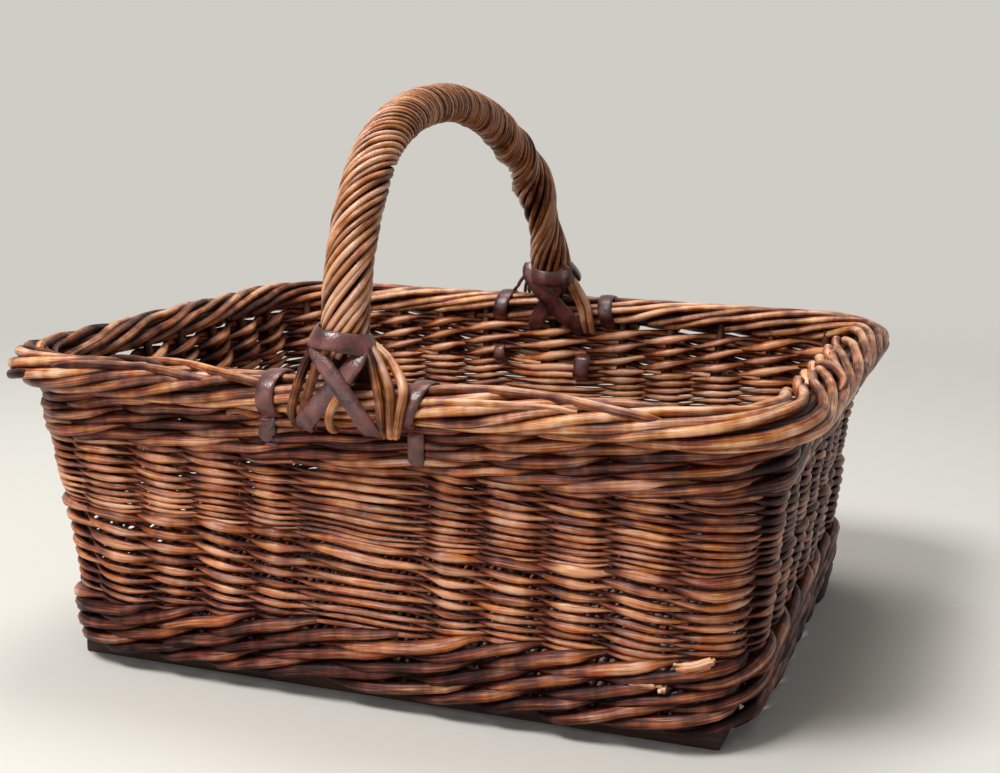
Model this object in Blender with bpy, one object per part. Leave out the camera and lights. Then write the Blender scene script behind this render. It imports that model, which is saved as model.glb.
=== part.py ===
"""A stained willow fruit basket: woven wall, rolled border, roped bow handle, leather straps and two runners.

X is the long side, the front is at -Y, and the basket stands on Z = 0. All lengths are in metres.
"""

import math

import bmesh
import bpy
from mathutils import Vector
from mathutils.geometry import interpolate_bezier

# Fits
touch_gap = 0.0003

# Centre line of the wall at its foot and at its top
base_length = 0.376
base_width = 0.312
base_corner = 0.036
base_shift = 0.0045
top_length = 0.410
top_width = 0.328
top_corner = 0.045

# Runners under the long sides, set in from the wall's foot
runner_height = 0.011
runner_depth = 0.025
runner_end_inset = 0.0045
runner_side_inset = 0.009
runner_shift = -0.003
runner_edge = 0.0015

# Heights of the woven bands, from the foot up
band_heights = {
    "foot_wale": 0.0310,
    "lower_rand_thin": 0.0245,
    "lower_rand_thick": 0.0245,
    "upper_rand_thin": 0.0200,
    "upper_rand_thick": 0.0200,
    "top_wale": 0.0200,
}
weave_thickness = 0.0045

# Stakes
stake_radius = 0.00275
stake_spacing = 0.0330
handle_spacing = 0.0485
stakes_beside_handle = 4
stakes_round_end = 9

# Woven base between the wall's feet
base_thickness = 0.0106
base_web = 0.0030
base_clearance = 0.0012
base_edge = 0.003
base_stick_count = 9
base_stick_margin = 0.014
cut_overrun = 0.002

# Border: how far its centre line lies outside the wall's top, then its section
border_end_overhang = 0.010
border_side_overhang = 0.008
border_corner_gain = 0.005
border_space = 0.0035
border_depth = 0.028
border_height = 0.021
border_groove = 0.0022
border_rods_across = 7

# Bow handle: centre line of the arch over the border
arch_foot_overhang = 0.0005
arch_height = 0.1337
front_foot_x = -0.0045
rear_foot_x = -0.0045
bow_radius = 0.0050
leg_foot_height = 0.0005
arch_steps = 45

# Rods wound round the bow
winding_rods = 6
winding_turns = 4.0
winding_radius = 0.0033
winding_clearance = 0.0008
winding_start = 0.0135
points_per_turn = 12

# Straps
strap_thickness = 0.0015
strap_width = 0.010
collar_bottom = 0.0125
collar_height = 0.0135
collar_flare = 0.0040
collar_clearance = 0.0018
cross_top_spread = 0.011
cross_foot_spread = 0.019
rim_strap_spread = 0.0385
strap_tail_length = 0.017
strap_sink = 0.0006

# Rod ends that fan out over the border beside the handle
fan_radius = 0.0022
fan_top_spread = 0.0215
fan_foot_spread = 0.0295

# Where the crossed strap ends turn down and end, and a fan rod's route, over half the border's height
cross_height_share = 0.9
fan_rod_shares = (
    # spread, half depth outward, seat outward, half height upward, seat upward
    (0.00, 0.0, 0.00, 1.00, 1.0),
    (0.30, 0.5, 0.00, 1.00, 1.0),
    (0.65, 1.0, 0.55, 0.75, 0.0),
    (1.00, 1.0, 1.00, -0.15, 0.0),
    (1.00, 1.0, 1.00, -0.90, 0.0),
)

# Facets
rod_sides = 8
thin_rod_sides = 6
collar_sides = 12
base_bend_steps = 6
base_ripple_steps = 6
border_steps_per_stake = 3
strap_loop_sides = 12
arch_smooth_steps = 8
fan_smooth_steps = 3
smooth_angle = math.radians(50)
same_direction = 1 - 1e-6
mostly_along = 0.9

# One rod in the border's section: shares of the way to the next rod, and of the groove's depth
border_rod_shares = ((-0.22, 0), (0.22, 0), (0.5, 1))
# Share of a turn round the section at which a rod comes up beside its own stake
border_start_share = -0.28

# Centre line of the arch: shares of its reach to the rear and of its height
arch_shares = (
    (-1.00, 0.00), (-1.00, 0.22), (-0.95, 0.50), (-0.80, 0.80), (-0.57, 0.95), (-0.28, 1.00),
    (-0.06, 0.98), (0.16, 0.92), (0.375, 0.81), (0.58, 0.675), (0.785, 0.40), (0.87, 0.22),
    (0.96, 0.00),
)

# Share of all the winding's turns that is made by each tenth of the arch
winding_tenth_shares = (0.10, 0.11, 0.12, 0.13, 0.13, 0.12, 0.10, 0.08, 0.06, 0.05)

# Derived sizes, heights and offsets
runner_length = base_length - 2 * runner_end_inset
runner_reach = base_width / 2 - runner_side_inset
border_length = top_length + 2 * border_end_overhang
border_width = top_width + 2 * border_side_overhang
border_corner = top_corner + border_corner_gain
arch_reach = border_width / 2 + arch_foot_overhang
wall_foot = runner_height + touch_gap
wall_height = sum(band_heights.values()) + touch_gap * (len(band_heights) - 1)
wall_top = wall_foot + wall_height
border_bottom = wall_top + border_space
border_middle = border_bottom + border_height / 2
border_top = border_bottom + border_height
weave_offset = stake_radius + touch_gap + weave_thickness / 2
weave_reach = weave_offset + weave_thickness / 2
winding_offset = bow_radius + winding_radius + winding_clearance
winding_reach = winding_offset + winding_radius


def material(name, colour, roughness):
    """A plain finish with the piece's colour."""
    made = bpy.data.materials.new(name)
    made.use_nodes = True
    shader = made.node_tree.nodes["Principled BSDF"]
    shader.inputs["Base Color"].default_value = (*colour, 1)
    shader.inputs["Roughness"].default_value = roughness
    shader.inputs["Metallic"].default_value = 0
    made.diffuse_color = (*colour, 1)
    return made


def mesh_object(name, points, faces, finish, smooth=False):
    """A closed mesh with its faces turned outwards."""
    mesh = bpy.data.meshes.new(name)
    mesh.from_pydata(points, [], faces)
    shape = bmesh.new()
    shape.from_mesh(mesh)
    bmesh.ops.recalc_face_normals(shape, faces=shape.faces)
    shape.to_mesh(mesh)
    shape.free()
    if smooth:
        mesh.shade_smooth()
        mesh.set_sharp_from_angle(angle=smooth_angle)
    made = bpy.data.objects.new(name, mesh)
    bpy.context.scene.collection.objects.link(made)
    made.parent = basket
    if finish:
        mesh.materials.append(finish)
    return made


def hidden_cutter(made):
    """Keeps a helper out of the render."""
    made.hide_render = True
    made.display_type = "WIRE"
    return made


def combine(made, other, operation):
    """Cuts or joins another solid."""
    hidden_cutter(other)
    step = made.modifiers.new(other.name, "BOOLEAN")
    step.operation = operation
    step.solver = "EXACT"
    step.object = other


def join_sections(sections, closed, closing_shift=0):
    """Points and faces of a solid through a row of alike sections, as a ring or with two caps."""
    size = len(sections[0])
    points = [point for section in sections for point in section]
    faces = []
    count = len(sections)
    for row in range(count if closed else count - 1):
        following = (row + 1) % count
        shift = closing_shift if following == 0 else 0
        for column in range(size):
            beside = (column + 1) % size
            faces.append((
                row * size + column,
                row * size + beside,
                following * size + (beside + shift) % size,
                following * size + (column + shift) % size,
            ))
    if not closed:
        faces.append(tuple(range(size)))
        faces.append(tuple((count - 1) * size + column for column in range(size)))
    return points, faces


def smooth_path(knots, steps):
    """Points on a smooth curve through the knots."""
    path = []
    last = len(knots) - 1
    for index in range(last):
        start, end = knots[index], knots[index + 1]
        before, after = knots[max(index - 1, 0)], knots[min(index + 2, last)]
        first_handle = start + (end - before) / 6
        second_handle = end - (after - start) / 6
        path.extend(interpolate_bezier(start, first_handle, second_handle, end, steps + 1)[:-1])
    path.append(knots[-1])
    return path


def even_path(path, count):
    """The same path with its points evenly spaced."""
    lengths = [0.0]
    for start, end in zip(path, path[1:]):
        lengths.append(lengths[-1] + (end - start).length)
    spaced = []
    index = 0
    for step in range(count):
        wanted = lengths[-1] * step / (count - 1)
        while index < len(path) - 2 and lengths[index + 1] < wanted:
            index += 1
        span = lengths[index + 1] - lengths[index]
        spaced.append(path[index].lerp(path[index + 1], (wanted - lengths[index]) / span))
    return spaced


def tube(name, path, radii, sides, finish):
    """A round rod along a path, with a radius at each point."""
    sections = []
    lies_along_x = abs((path[1] - path[0]).normalized().x) > mostly_along
    across = Vector((0, 1, 0)) if lies_along_x else Vector((1, 0, 0))
    for index, centre in enumerate(path):
        along = (path[min(index + 1, len(path) - 1)] - path[max(index - 1, 0)]).normalized()
        across = (across - along * across.dot(along)).normalized()
        other = along.cross(across)
        section = []
        for corner in range(sides):
            turn = 2 * math.pi * corner / sides
            section.append(centre + radii[index] * (math.cos(turn) * across + math.sin(turn) * other))
        sections.append(section)
    return mesh_object(name, *join_sections(sections, closed=False), finish, smooth=True)


def stretches(size):
    """The straight and round stretches of a rounded rectangle, from the middle of its front towards +X."""
    length, width, corner = size
    half_front = length / 2 - corner
    side = width - 2 * corner
    arc = corner * math.pi / 2
    straight, bend = True, False
    return [
        (half_front, straight), (arc, bend), (side, straight), (arc, bend),
        (2 * half_front, straight), (arc, bend), (side, straight), (arc, bend), (half_front, straight),
    ]


def perimeter(size):
    """The length of the way round."""
    return sum(stretch for stretch, _ in stretches(size))


def outline_at(size, share):
    """Place and outward direction on a rounded rectangle, at a share of the way round."""
    corner = size[2]
    left = (share % 1) * perimeter(size)
    place = Vector((0, -size[1] / 2, 0))
    heading = 0
    for stretch, straight in stretches(size):
        step = min(left, stretch)
        if straight:
            place = place + step * Vector((math.cos(heading), math.sin(heading), 0))
        else:
            centre = place + corner * Vector((-math.sin(heading), math.cos(heading), 0))
            heading += step / corner
            place = centre + corner * Vector((math.sin(heading), -math.cos(heading), 0))
        left -= step
        if left <= 0:
            break
    return place, Vector((math.sin(heading), -math.cos(heading), 0))


def ring_shares(size, steps):
    """Shares of the way round where a ring needs a section: the ends of each bend and the steps in it."""
    shares = []
    way = 0
    for stretch, straight in stretches(size):
        if not straight:
            shares.extend((way + stretch * step / steps) / perimeter(size) for step in range(steps + 1))
        way += stretch
    return shares


base_size = (base_length, base_width, base_corner)
top_size = (top_length, top_width, top_corner)
border_size = (border_length, border_width, border_corner)
middle_size = tuple((low + high) / 2 for low, high in zip(base_size, top_size))


def wall_at(share, height, outward=0, along=0):
    """A point of the wall at a share of the way round and a height, moved outward or along the wall."""
    rise = (height - wall_foot) / wall_height
    low, low_direction = outline_at(base_size, share)
    high, high_direction = outline_at(top_size, share)
    low = low + Vector((base_shift, 0, 0))
    direction = low_direction.lerp(high_direction, rise).normalized()
    forward = Vector((-direction.y, direction.x, 0))
    place = low.lerp(high, rise) + outward * direction + along * forward
    return Vector((place.x, place.y, height))


def stake_places():
    """Shares of the way round of the stakes and the two handle legs, from the front leg towards +X."""
    way = perimeter(middle_size)
    front_leg = front_foot_x
    rear_leg = way / 2 - rear_foot_x
    beside = [handle_spacing + stake_spacing * index for index in range(stakes_beside_handle)]
    right_start, right_end = front_leg + beside[-1], rear_leg - beside[-1]
    left_start, left_end = rear_leg + beside[-1], way + front_leg - beside[-1]
    gaps = stakes_round_end + 1
    places = [front_leg] + [front_leg + step for step in beside]
    places += [right_start + (right_end - right_start) * index / gaps for index in range(1, gaps)]
    places += [rear_leg - step for step in reversed(beside)] + [rear_leg]
    places += [rear_leg + step for step in beside]
    places += [left_start + (left_end - left_start) * index / gaps for index in range(1, gaps)]
    places += [way + front_leg - step for step in reversed(beside)]
    return [place / way for place in places]


def band_section(share, height_range, outward=0, along=0):
    """The four corners of a woven band where it passes a place on the wall."""
    low, high = height_range
    outer, inner = outward + weave_thickness / 2, outward - weave_thickness / 2
    return [
        wall_at(share, low, outer, along), wall_at(share, high, outer, along),
        wall_at(share, high, inner, along), wall_at(share, low, inner, along),
    ]


def make_bands(places, finish):
    """Woven bands, each a closed ring that passes outside one stake and inside the next."""
    low = wall_foot
    outside_first = 1
    for name, height in band_heights.items():
        height_range = (low, low + height)
        sections = []
        for index, share in enumerate(places):
            side = outside_first if index % 2 == 0 else -outside_first
            for along in (-stake_radius, stake_radius):
                sections.append(band_section(share, height_range, side * weave_offset, along))
            following = places[(index + 1) % len(places)] + (1 if index + 1 == len(places) else 0)
            alike = outline_at(middle_size, share)[1].dot(outline_at(middle_size, following)[1])
            if alike < same_direction:
                sections.append(band_section((share + following) / 2, height_range))
        mesh_object(name, *join_sections(sections, closed=True), finish)
        low += height + touch_gap
        outside_first = -outside_first


def make_stakes(places, finish):
    """Upright stakes from the wall's foot to the underside of the border."""
    number = 0
    for index, share in enumerate(places):
        if index in (0, len(places) // 2):
            continue
        number += 1
        ends = [
            wall_at(share, wall_foot + leg_foot_height),
            wall_at(share, border_bottom - touch_gap),
        ]
        tube(f"stake_{number:02d}", ends, [stake_radius] * 2, rod_sides, finish)


def make_runners(finish):
    """A wooden runner under each long side, with its edges eased."""
    for name, side in (("runner_front", -1), ("runner_rear", 1)):
        middle = base_shift + runner_shift
        low = Vector((middle - runner_length / 2, side * runner_reach, 0))
        high = Vector((middle + runner_length / 2, side * (runner_reach - runner_depth), runner_height))
        corners = [
            (x, y, z) for z in (low.z, high.z)
            for x, y in ((low.x, low.y), (high.x, low.y), (high.x, high.y), (low.x, high.y))
        ]
        faces = [(0, 1, 2, 3), (4, 5, 6, 7), (0, 1, 5, 4), (1, 2, 6, 5), (2, 3, 7, 6), (3, 0, 4, 7)]
        runner = mesh_object(name, corners, faces, finish)
        eased = runner.modifiers.new("eased_edges", "BEVEL")
        eased.width = runner_edge
        eased.segments = 1


def make_base(finish):
    """The woven base between the wall's feet, thick over its long sticks and thin between them."""
    inset = 2 * (weave_reach + base_clearance)
    size = (base_length - inset, base_width - inset, base_corner)
    sections = []
    levels = (
        (wall_foot, base_edge), (wall_foot + base_edge, 0),
        (wall_foot + base_thickness - base_edge, 0), (wall_foot + base_thickness, base_edge),
    )
    for share in ring_shares(size, base_bend_steps):
        place, direction = outline_at(size, share)
        place = place + Vector((base_shift, 0, 0))
        sections.append([
            place - inward * direction + Vector((0, 0, height)) for height, inward in levels
        ])
    base = mesh_object("woven_base", *plate_of(sections), finish)
    spread = (size[1] - 2 * base_stick_margin) / (base_stick_count - 1)
    side = size[1] / 2 + cut_overrun
    steps = base_ripple_steps * (base_stick_count + 1)
    upper, lower = [], []
    for step in range(steps + 1):
        y = -side + 2 * side * step / steps
        swell = abs(math.cos(math.pi * (y + size[1] / 2 - base_stick_margin) / spread))
        half = (base_web + (base_thickness - base_web) * swell) / 2
        upper.append((y, wall_foot + base_thickness / 2 + half))
        lower.append((y, wall_foot + base_thickness / 2 - half))
    reach = size[0] / 2 + cut_overrun
    rippled = [[Vector((base_shift + end, y, z)) for y, z in upper + lower[::-1]] for end in (-reach, reach)]
    ripple = mesh_object("base_ripple", *join_sections(rippled, closed=False), None)
    combine(base, ripple, "INTERSECT")


def plate_of(sections):
    """A solid plate from its rim's sections, closed over its underside and its top."""
    size = len(sections[0])
    count = len(sections)
    points = [point for section in sections for point in section]
    faces = []
    for row in range(count):
        following = (row + 1) % count
        for column in range(size - 1):
            faces.append((
                row * size + column,
                row * size + column + 1,
                following * size + column + 1,
                following * size + column,
            ))
    faces.append(tuple(row * size for row in range(count)))
    faces.append(tuple(row * size + size - 1 for row in range(count)))
    return points, faces


def border_section(share, rods_passed):
    """The border's oval section at a place, grooved between the rods that lie side by side there."""
    place, direction = outline_at(border_size, share)
    section = []
    for rod in range(border_rods_across):
        for way_share, groove_share in border_rod_shares:
            turn = 2 * math.pi * (border_start_share + (rods_passed + rod + way_share) / border_rods_across)
            out = (border_depth / 2 - border_groove * groove_share) * math.cos(turn)
            up = (border_height / 2 - border_groove * groove_share) * math.sin(turn)
            section.append(place + out * direction + Vector((0, 0, border_middle + up)))
    return section


def make_border(places, legs, finish):
    """The rolled border: a ring whose grooves wind round it by one rod a stake, with a hole for each leg."""
    sections = []
    for number, share in enumerate(places):
        following = places[(number + 1) % len(places)] + (1 if number + 1 == len(places) else 0)
        for step in range(border_steps_per_stake):
            passed = step / border_steps_per_stake
            sections.append(border_section(share + (following - share) * passed, number + passed))
    closing_shift = len(places) % border_rods_across * len(border_rod_shares)
    ring = join_sections(sections, closed=True, closing_shift=closing_shift)
    border = mesh_object("rolled_border", *ring, finish, smooth=True)
    hole_radii = [stake_radius + touch_gap] * 2 + [bow_radius + touch_gap] * 2
    for number, leg in enumerate(legs):
        combine(border, tube(f"leg_hole_{number}", leg, hole_radii, rod_sides, None), "DIFFERENCE")


def arch_path():
    """The centre line of the bow over the border, front foot first."""
    knots = []
    for back, up in arch_shares:
        turn = (back + 1) / 2
        knots.append(Vector((
            front_foot_x + (rear_foot_x - front_foot_x) * turn,
            back * arch_reach,
            border_top + up * arch_height,
        )))
    return even_path(smooth_path(knots, arch_smooth_steps), arch_steps)


def make_bow(arch, front_leg, rear_leg, finish):
    """The bow rod: an arch whose thinner legs go down through the border and stand in the wall."""
    path = front_leg + arch[1:-1] + rear_leg[::-1]
    radii = [stake_radius] * 2 + [bow_radius] * len(arch) + [stake_radius] * 2
    tube("handle_bow", path, radii, rod_sides, finish)


def winding_turn(share):
    """Turns made by a winding rod from the arch's foot to a share of its way."""
    tenths = len(winding_tenth_shares)
    place = share * tenths
    whole = min(int(place), tenths - 1)
    made = sum(winding_tenth_shares[:whole]) + winding_tenth_shares[whole] * (place - whole)
    return winding_turns * made


def make_winding(arch, finish):
    """The rods wound round the bow, each one unbroken tube."""
    fine = even_path(arch, int(winding_turns * points_per_turn) + 1)
    length = sum((end - start).length for start, end in zip(fine, fine[1:]))
    margin = winding_start / length
    across = Vector((1, 0, 0))
    paths = []
    for rod in range(winding_rods):
        path = []
        for index, centre in enumerate(fine):
            share = index / (len(fine) - 1)
            if not margin <= share <= 1 - margin:
                continue
            along = (fine[min(index + 1, len(fine) - 1)] - fine[max(index - 1, 0)]).normalized()
            side = (across - along * across.dot(along)).normalized()
            other = along.cross(side)
            turn = 2 * math.pi * (winding_turn(share) + rod / winding_rods)
            path.append(centre + winding_offset * (math.cos(turn) * side + math.sin(turn) * other))
        paths.append(path)
        tube(f"handle_winding_{rod + 1}", path, [winding_radius] * len(path), thin_rod_sides, finish)
    return paths


def least_gap(paths):
    """The smallest clear gap between a winding rod and itself or another, in metres, on their points."""
    least = math.inf
    for first, path in enumerate(paths):
        for other_index in range(first, len(paths)):
            other = paths[other_index]
            for place, point in enumerate(path):
                for other_place, other_point in enumerate(other):
                    if other_index == first and abs(place - other_place) < points_per_turn / 2:
                        continue
                    least = min(least, (point - other_point).length - 2 * winding_radius)
    return least


def strip(name, route, width, direction):
    """A strap of even thickness along a route, its width square to the route and its thickness."""
    sections = []
    for index, place in enumerate(route):
        along = (route[min(index + 1, len(route) - 1)] - route[max(index - 1, 0)]).normalized()
        across = along.cross(direction).normalized()
        out = across.cross(along).normalized()
        sections.append([
            place + across * width / 2 + out * strap_thickness / 2,
            place - across * width / 2 + out * strap_thickness / 2,
            place - across * width / 2 - out * strap_thickness / 2,
            place + across * width / 2 - out * strap_thickness / 2,
        ])
    return mesh_object(name, *join_sections(sections, closed=False), None)


def arch_at_height(arch, side, height):
    """The point where a leg of the arch reaches a height."""
    leg = arch if side < 0 else arch[::-1]
    for start, end in zip(leg, leg[1:]):
        if end.z >= height:
            return start.lerp(end, (height - start.z) / (end.z - start.z))
    return leg[-1]


def make_collar(name, side, foot_x, arch, finish):
    """The strap round a foot of the handle, with its crossed ends over both faces of the border."""
    levels = (border_top + collar_bottom, border_top + collar_bottom + collar_height)
    centres = [arch_at_height(arch, side, level) for level in levels]
    lean_stretch = (centres[1] - centres[0]).length / collar_height
    inner = (winding_reach + collar_clearance) / math.cos(math.pi / collar_sides)
    radii = (inner + collar_flare, inner)
    rings = []
    for level, (centre, radius) in enumerate(zip(centres, radii)):
        for wall in (radius, radius + strap_thickness):
            rings.append([
                centre + wall * Vector((math.cos(turn), math.sin(turn) * lean_stretch, 0))
                for turn in (2 * math.pi * step / collar_sides for step in range(collar_sides))
            ])
    sections = [
        [rings[0][step], rings[1][step], rings[3][step], rings[2][step]] for step in range(collar_sides)
    ]
    collar = mesh_object(name, *join_sections(sections, closed=True), finish)
    border_y = side * border_width / 2
    edge = border_depth / 2 + touch_gap + strap_thickness / 2
    seat = radii[0] + strap_thickness / 2
    beside = math.cos(math.asin(cross_top_spread / seat)) * lean_stretch
    turn_height = border_height / 2 * cross_height_share
    for face in (-1, 1):
        out = side * face
        top_y = centres[0].y + out * seat * beside
        face_y = border_y + out * (edge + touch_gap)
        for lean in (-1, 1):
            turn_x = foot_x - lean * (cross_foot_spread - cross_top_spread) / 2
            route = [
                Vector((foot_x + lean * cross_top_spread, top_y, centres[0].z + strap_thickness)),
                Vector((turn_x, face_y, border_middle + turn_height)),
                Vector((foot_x - lean * cross_foot_spread, face_y, border_middle - turn_height)),
            ]
            end = strip(f"{name}_end_{face}_{lean}", route, strap_width, Vector((0, out, 0)))
            combine(collar, end, "UNION")


def make_rim_strap(name, side, x, finish):
    """A strap looped round the border, with its end tied down over the top wale."""
    around_share = 1 / math.cos(math.pi / strap_loop_sides)
    half = (border_depth / 2 + touch_gap) * around_share
    tall = (border_height / 2 + touch_gap) * around_share
    centre_y = side * border_width / 2
    sections = []
    for corner in range(strap_loop_sides):
        turn = 2 * math.pi * corner / strap_loop_sides
        sections.append([
            Vector((
                x + across,
                centre_y + side * (half + thick) * math.cos(turn),
                border_middle + (tall + thick) * math.sin(turn),
            ))
            for across, thick in (
                (-strap_width / 2, 0), (strap_width / 2, 0),
                (strap_width / 2, strap_thickness), (-strap_width / 2, strap_thickness),
            )
        ])
    loop = mesh_object(name, *join_sections(sections, closed=True), finish)
    wall_top_y = top_width / 2 + weave_reach + touch_gap
    top_z = border_middle - tall - strap_thickness / 2
    tail_y = side * (wall_top_y + strap_thickness / 2)
    tail = strip(
        f"{name}_tail",
        [Vector((x, tail_y, top_z)), Vector((x, tail_y, top_z - strap_tail_length))],
        strap_width - strap_sink,
        Vector((0, side, 0)),
    )
    combine(loop, tail, "UNION")


def make_fan_rod(name, side, foot_x, lean, finish):
    """A rod end that leaves the foot of the handle and lies over the outer face of the border."""
    seat = fan_radius + touch_gap
    spread = fan_foot_spread - fan_top_spread
    knots = []
    for spread_share, depth_share, out_seat_share, height_share, up_seat_share in fan_rod_shares:
        out = border_depth / 2 * depth_share + seat * out_seat_share
        up = border_height / 2 * height_share + seat * up_seat_share
        knots.append(Vector((
            foot_x + lean * (fan_top_spread + spread * spread_share),
            side * (border_width / 2 + out),
            border_middle + up,
        )))
    path = smooth_path(knots, fan_smooth_steps)
    tube(name, path, [fan_radius] * len(path), thin_rod_sides, finish)


for old in list(bpy.data.objects):
    bpy.data.objects.remove(old)

willow = material("stained_willow", (0.26, 0.105, 0.045), 0.45)
stake_willow = material("stained_stakes", (0.15, 0.065, 0.035), 0.55)
handle_willow = material("handle_willow", (0.36, 0.16, 0.07), 0.4)
leather = material("dark_leather", (0.085, 0.038, 0.03), 0.4)
runner_wood = material("stained_runner_wood", (0.07, 0.045, 0.035), 0.6)

basket = bpy.data.objects.new("basket", None)
bpy.context.scene.collection.objects.link(basket)

places = stake_places()
make_runners(runner_wood)
make_base(willow)
make_stakes(places, stake_willow)
make_bands(places, willow)

arch = arch_path()
rear_share = places[len(places) // 2]
front_leg = [wall_at(places[0], height) for height in (wall_foot + leg_foot_height, wall_top)] + [arch[0]]
rear_leg = [wall_at(rear_share, height) for height in (wall_foot + leg_foot_height, wall_top)] + [arch[-1]]
make_border(places, [front_leg + [arch[1]], rear_leg + [arch[-2]]], willow)
make_bow(arch, front_leg, rear_leg, handle_willow)
winding_paths = make_winding(arch, handle_willow)
print(f"least gap of the winding rods {least_gap(winding_paths) * 1000:.2f} mm")

for side, foot, foot_x in ((-1, "front", front_foot_x), (1, "rear", rear_foot_x)):
    make_collar(f"strap_collar_{foot}", side, foot_x, arch, leather)
    for lean, hand in ((-1, "left"), (1, "right")):
        make_rim_strap(f"rim_strap_{foot}_{hand}", side, foot_x + lean * rim_strap_spread, leather)
make_fan_rod("fan_rod_front_left", -1, front_foot_x, -1, handle_willow)
make_fan_rod("fan_rod_front_right", -1, front_foot_x, 1, handle_willow)
make_fan_rod("fan_rod_rear_right", 1, rear_foot_x, 1, handle_willow)
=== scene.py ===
# %% [markdown]
# # A stained willow fruit basket
# This is an old hand-woven basket: a rectangular wall of willow rods, a rolled border, a roped bow
# handle, leather straps at the handle's feet and two wooden runners. Almost all of it is round rods
# that follow a rule, so almost all of it can be grown by Geometry Nodes from a few sizes.
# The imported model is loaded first. It fixes where each piece sits, and the script dresses it.

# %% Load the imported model
import math
from functools import partial

import bmesh
import bpy
from mathutils import Matrix, Vector, noise
from mathutils.geometry import interpolate_bezier


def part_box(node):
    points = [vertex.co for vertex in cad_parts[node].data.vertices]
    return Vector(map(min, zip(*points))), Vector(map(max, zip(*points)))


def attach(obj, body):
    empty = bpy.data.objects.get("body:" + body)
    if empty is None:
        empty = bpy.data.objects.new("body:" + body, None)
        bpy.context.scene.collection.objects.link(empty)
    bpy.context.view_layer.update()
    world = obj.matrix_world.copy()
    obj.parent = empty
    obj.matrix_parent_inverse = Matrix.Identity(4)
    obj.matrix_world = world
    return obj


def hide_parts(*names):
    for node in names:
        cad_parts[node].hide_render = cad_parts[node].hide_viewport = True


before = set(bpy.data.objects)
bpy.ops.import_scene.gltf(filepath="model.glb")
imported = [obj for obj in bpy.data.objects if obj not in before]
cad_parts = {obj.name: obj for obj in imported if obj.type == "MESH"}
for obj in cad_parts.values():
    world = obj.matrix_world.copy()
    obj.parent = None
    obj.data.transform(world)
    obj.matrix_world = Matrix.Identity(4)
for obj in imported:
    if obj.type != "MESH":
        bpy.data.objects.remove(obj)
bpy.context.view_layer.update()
print(len(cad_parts), "nodes in the frame")

# %% [markdown]
# ## Sizes
# The wall leans outwards: its foot and its top are two rounded rectangles, each given by its length,
# its width and the radius of its corners. Heights come from the frame, so that each band of weaving
# starts and ends where the model says. All lengths are in metres, the front is at -Y and the long
# side runs along X.

# %% Sizes of the wall, the border and the handle
base_size = (0.376, 0.312, 0.036)
top_size = (0.410, 0.328, 0.045)
base_shift = 0.0045
stake_radius = 0.00275
stake_spacing = 0.0330
handle_spacing = 0.0485
stakes_beside_handle = 4
stakes_round_end = 9

wall_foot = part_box("foot_wale")[0][2]
wall_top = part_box("top_wale")[1][2]
border_low, border_high = (Vector(corner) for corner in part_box("rolled_border"))
border_depth = 0.028
border_height = border_high.z - border_low.z
border_middle = (border_high.z + border_low.z) / 2
border_corner = 0.050
border_size = (
    border_high.x - border_low.x - border_depth,
    border_high.y - border_low.y - border_depth,
    border_corner,
)
front_foot_x = -0.0045
rear_foot_x = -0.0045
print(f"wall {wall_foot:.4f} to {wall_top:.4f}, border at {border_middle:.4f}")

# %% [markdown]
# ## Small helpers
# A node tree built in a script soon grows long. One function adds a node, sets its options and fills
# or links its inputs, so each line of a tree reads as one step, and short steps can be written inside
# each other. Each new tree hands back this function already bound to itself, under the name node.
# Colours are written as hex values, as a picture editor shows them, and turned to the linear light
# that Blender works in.

# %% Helpers for nodes and colours
def linear(hex_colour):
    """The linear colour of an sRGB hex value."""
    shares = [int(hex_colour[start:start + 2], 16) / 255 for start in (1, 3, 5)]
    light = [share / 12.92 if share <= 0.04045 else ((share + 0.055) / 1.055) ** 2.4 for share in shares]
    return (*light, 1)


def fill(made, inputs):
    """Fills or links the inputs of a node. They are given by name, or by number among those in use."""
    in_use = [socket for socket in made.inputs if socket.enabled]
    for key, value in inputs.items():
        socket = in_use[key] if isinstance(key, int) else next(other for other in in_use if other.name == key)
        if isinstance(value, bpy.types.Node):
            value = next(output for output in value.outputs if output.enabled)
        if isinstance(value, bpy.types.NodeSocket):
            made.id_data.links.new(value, socket)
        else:
            socket.default_value = value


def add(tree, kind, *values, **settings):
    """Adds a node. The values fill its inputs in their order, and a dict among them fills more by name.

    A kind is the end of Blender's own name for it, such as SetPosition, and an operation follows after
    a point. A kind in capitals is an operation of the Math node.
    """
    kind, _, operation = (f"Math.{kind}" if kind.isupper() else kind).partition(".")
    starts = ("ShaderNode",) if tree.type == "SHADER" else ("GeometryNode", "ShaderNode", "FunctionNode", "")
    made = tree.nodes.new(next(start + kind for start in starts if hasattr(bpy.types, start + kind)))
    if operation:
        made.operation = operation
    for name, value in settings.items():
        setattr(made, name, value)
    for number, value in enumerate(values):
        fill(made, value if isinstance(value, dict) else {number: value})
    return made


def new_tree(name, inputs, outputs=("Geometry",)):
    """A Geometry Nodes tree, the function that adds to it, and its named inputs with their usual values."""
    tree = bpy.data.node_groups.new(name, "GeometryNodeTree")
    kinds = {int: "Int", float: "Float", Vector: "Vector"}
    for label, value in inputs.items():
        kind = value if isinstance(value, str) else kinds[type(value)]
        socket = tree.interface.new_socket(label, in_out="INPUT", socket_type=f"NodeSocket{kind}")
        if kind in kinds.values():
            socket.default_value = value
    for label in outputs:
        kind = "Geometry" if label == "Geometry" else "Vector"
        tree.interface.new_socket(label, in_out="OUTPUT", socket_type=f"NodeSocket{kind}")
    return tree, partial(add, tree), tree.nodes.new("NodeGroupInput").outputs


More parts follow.
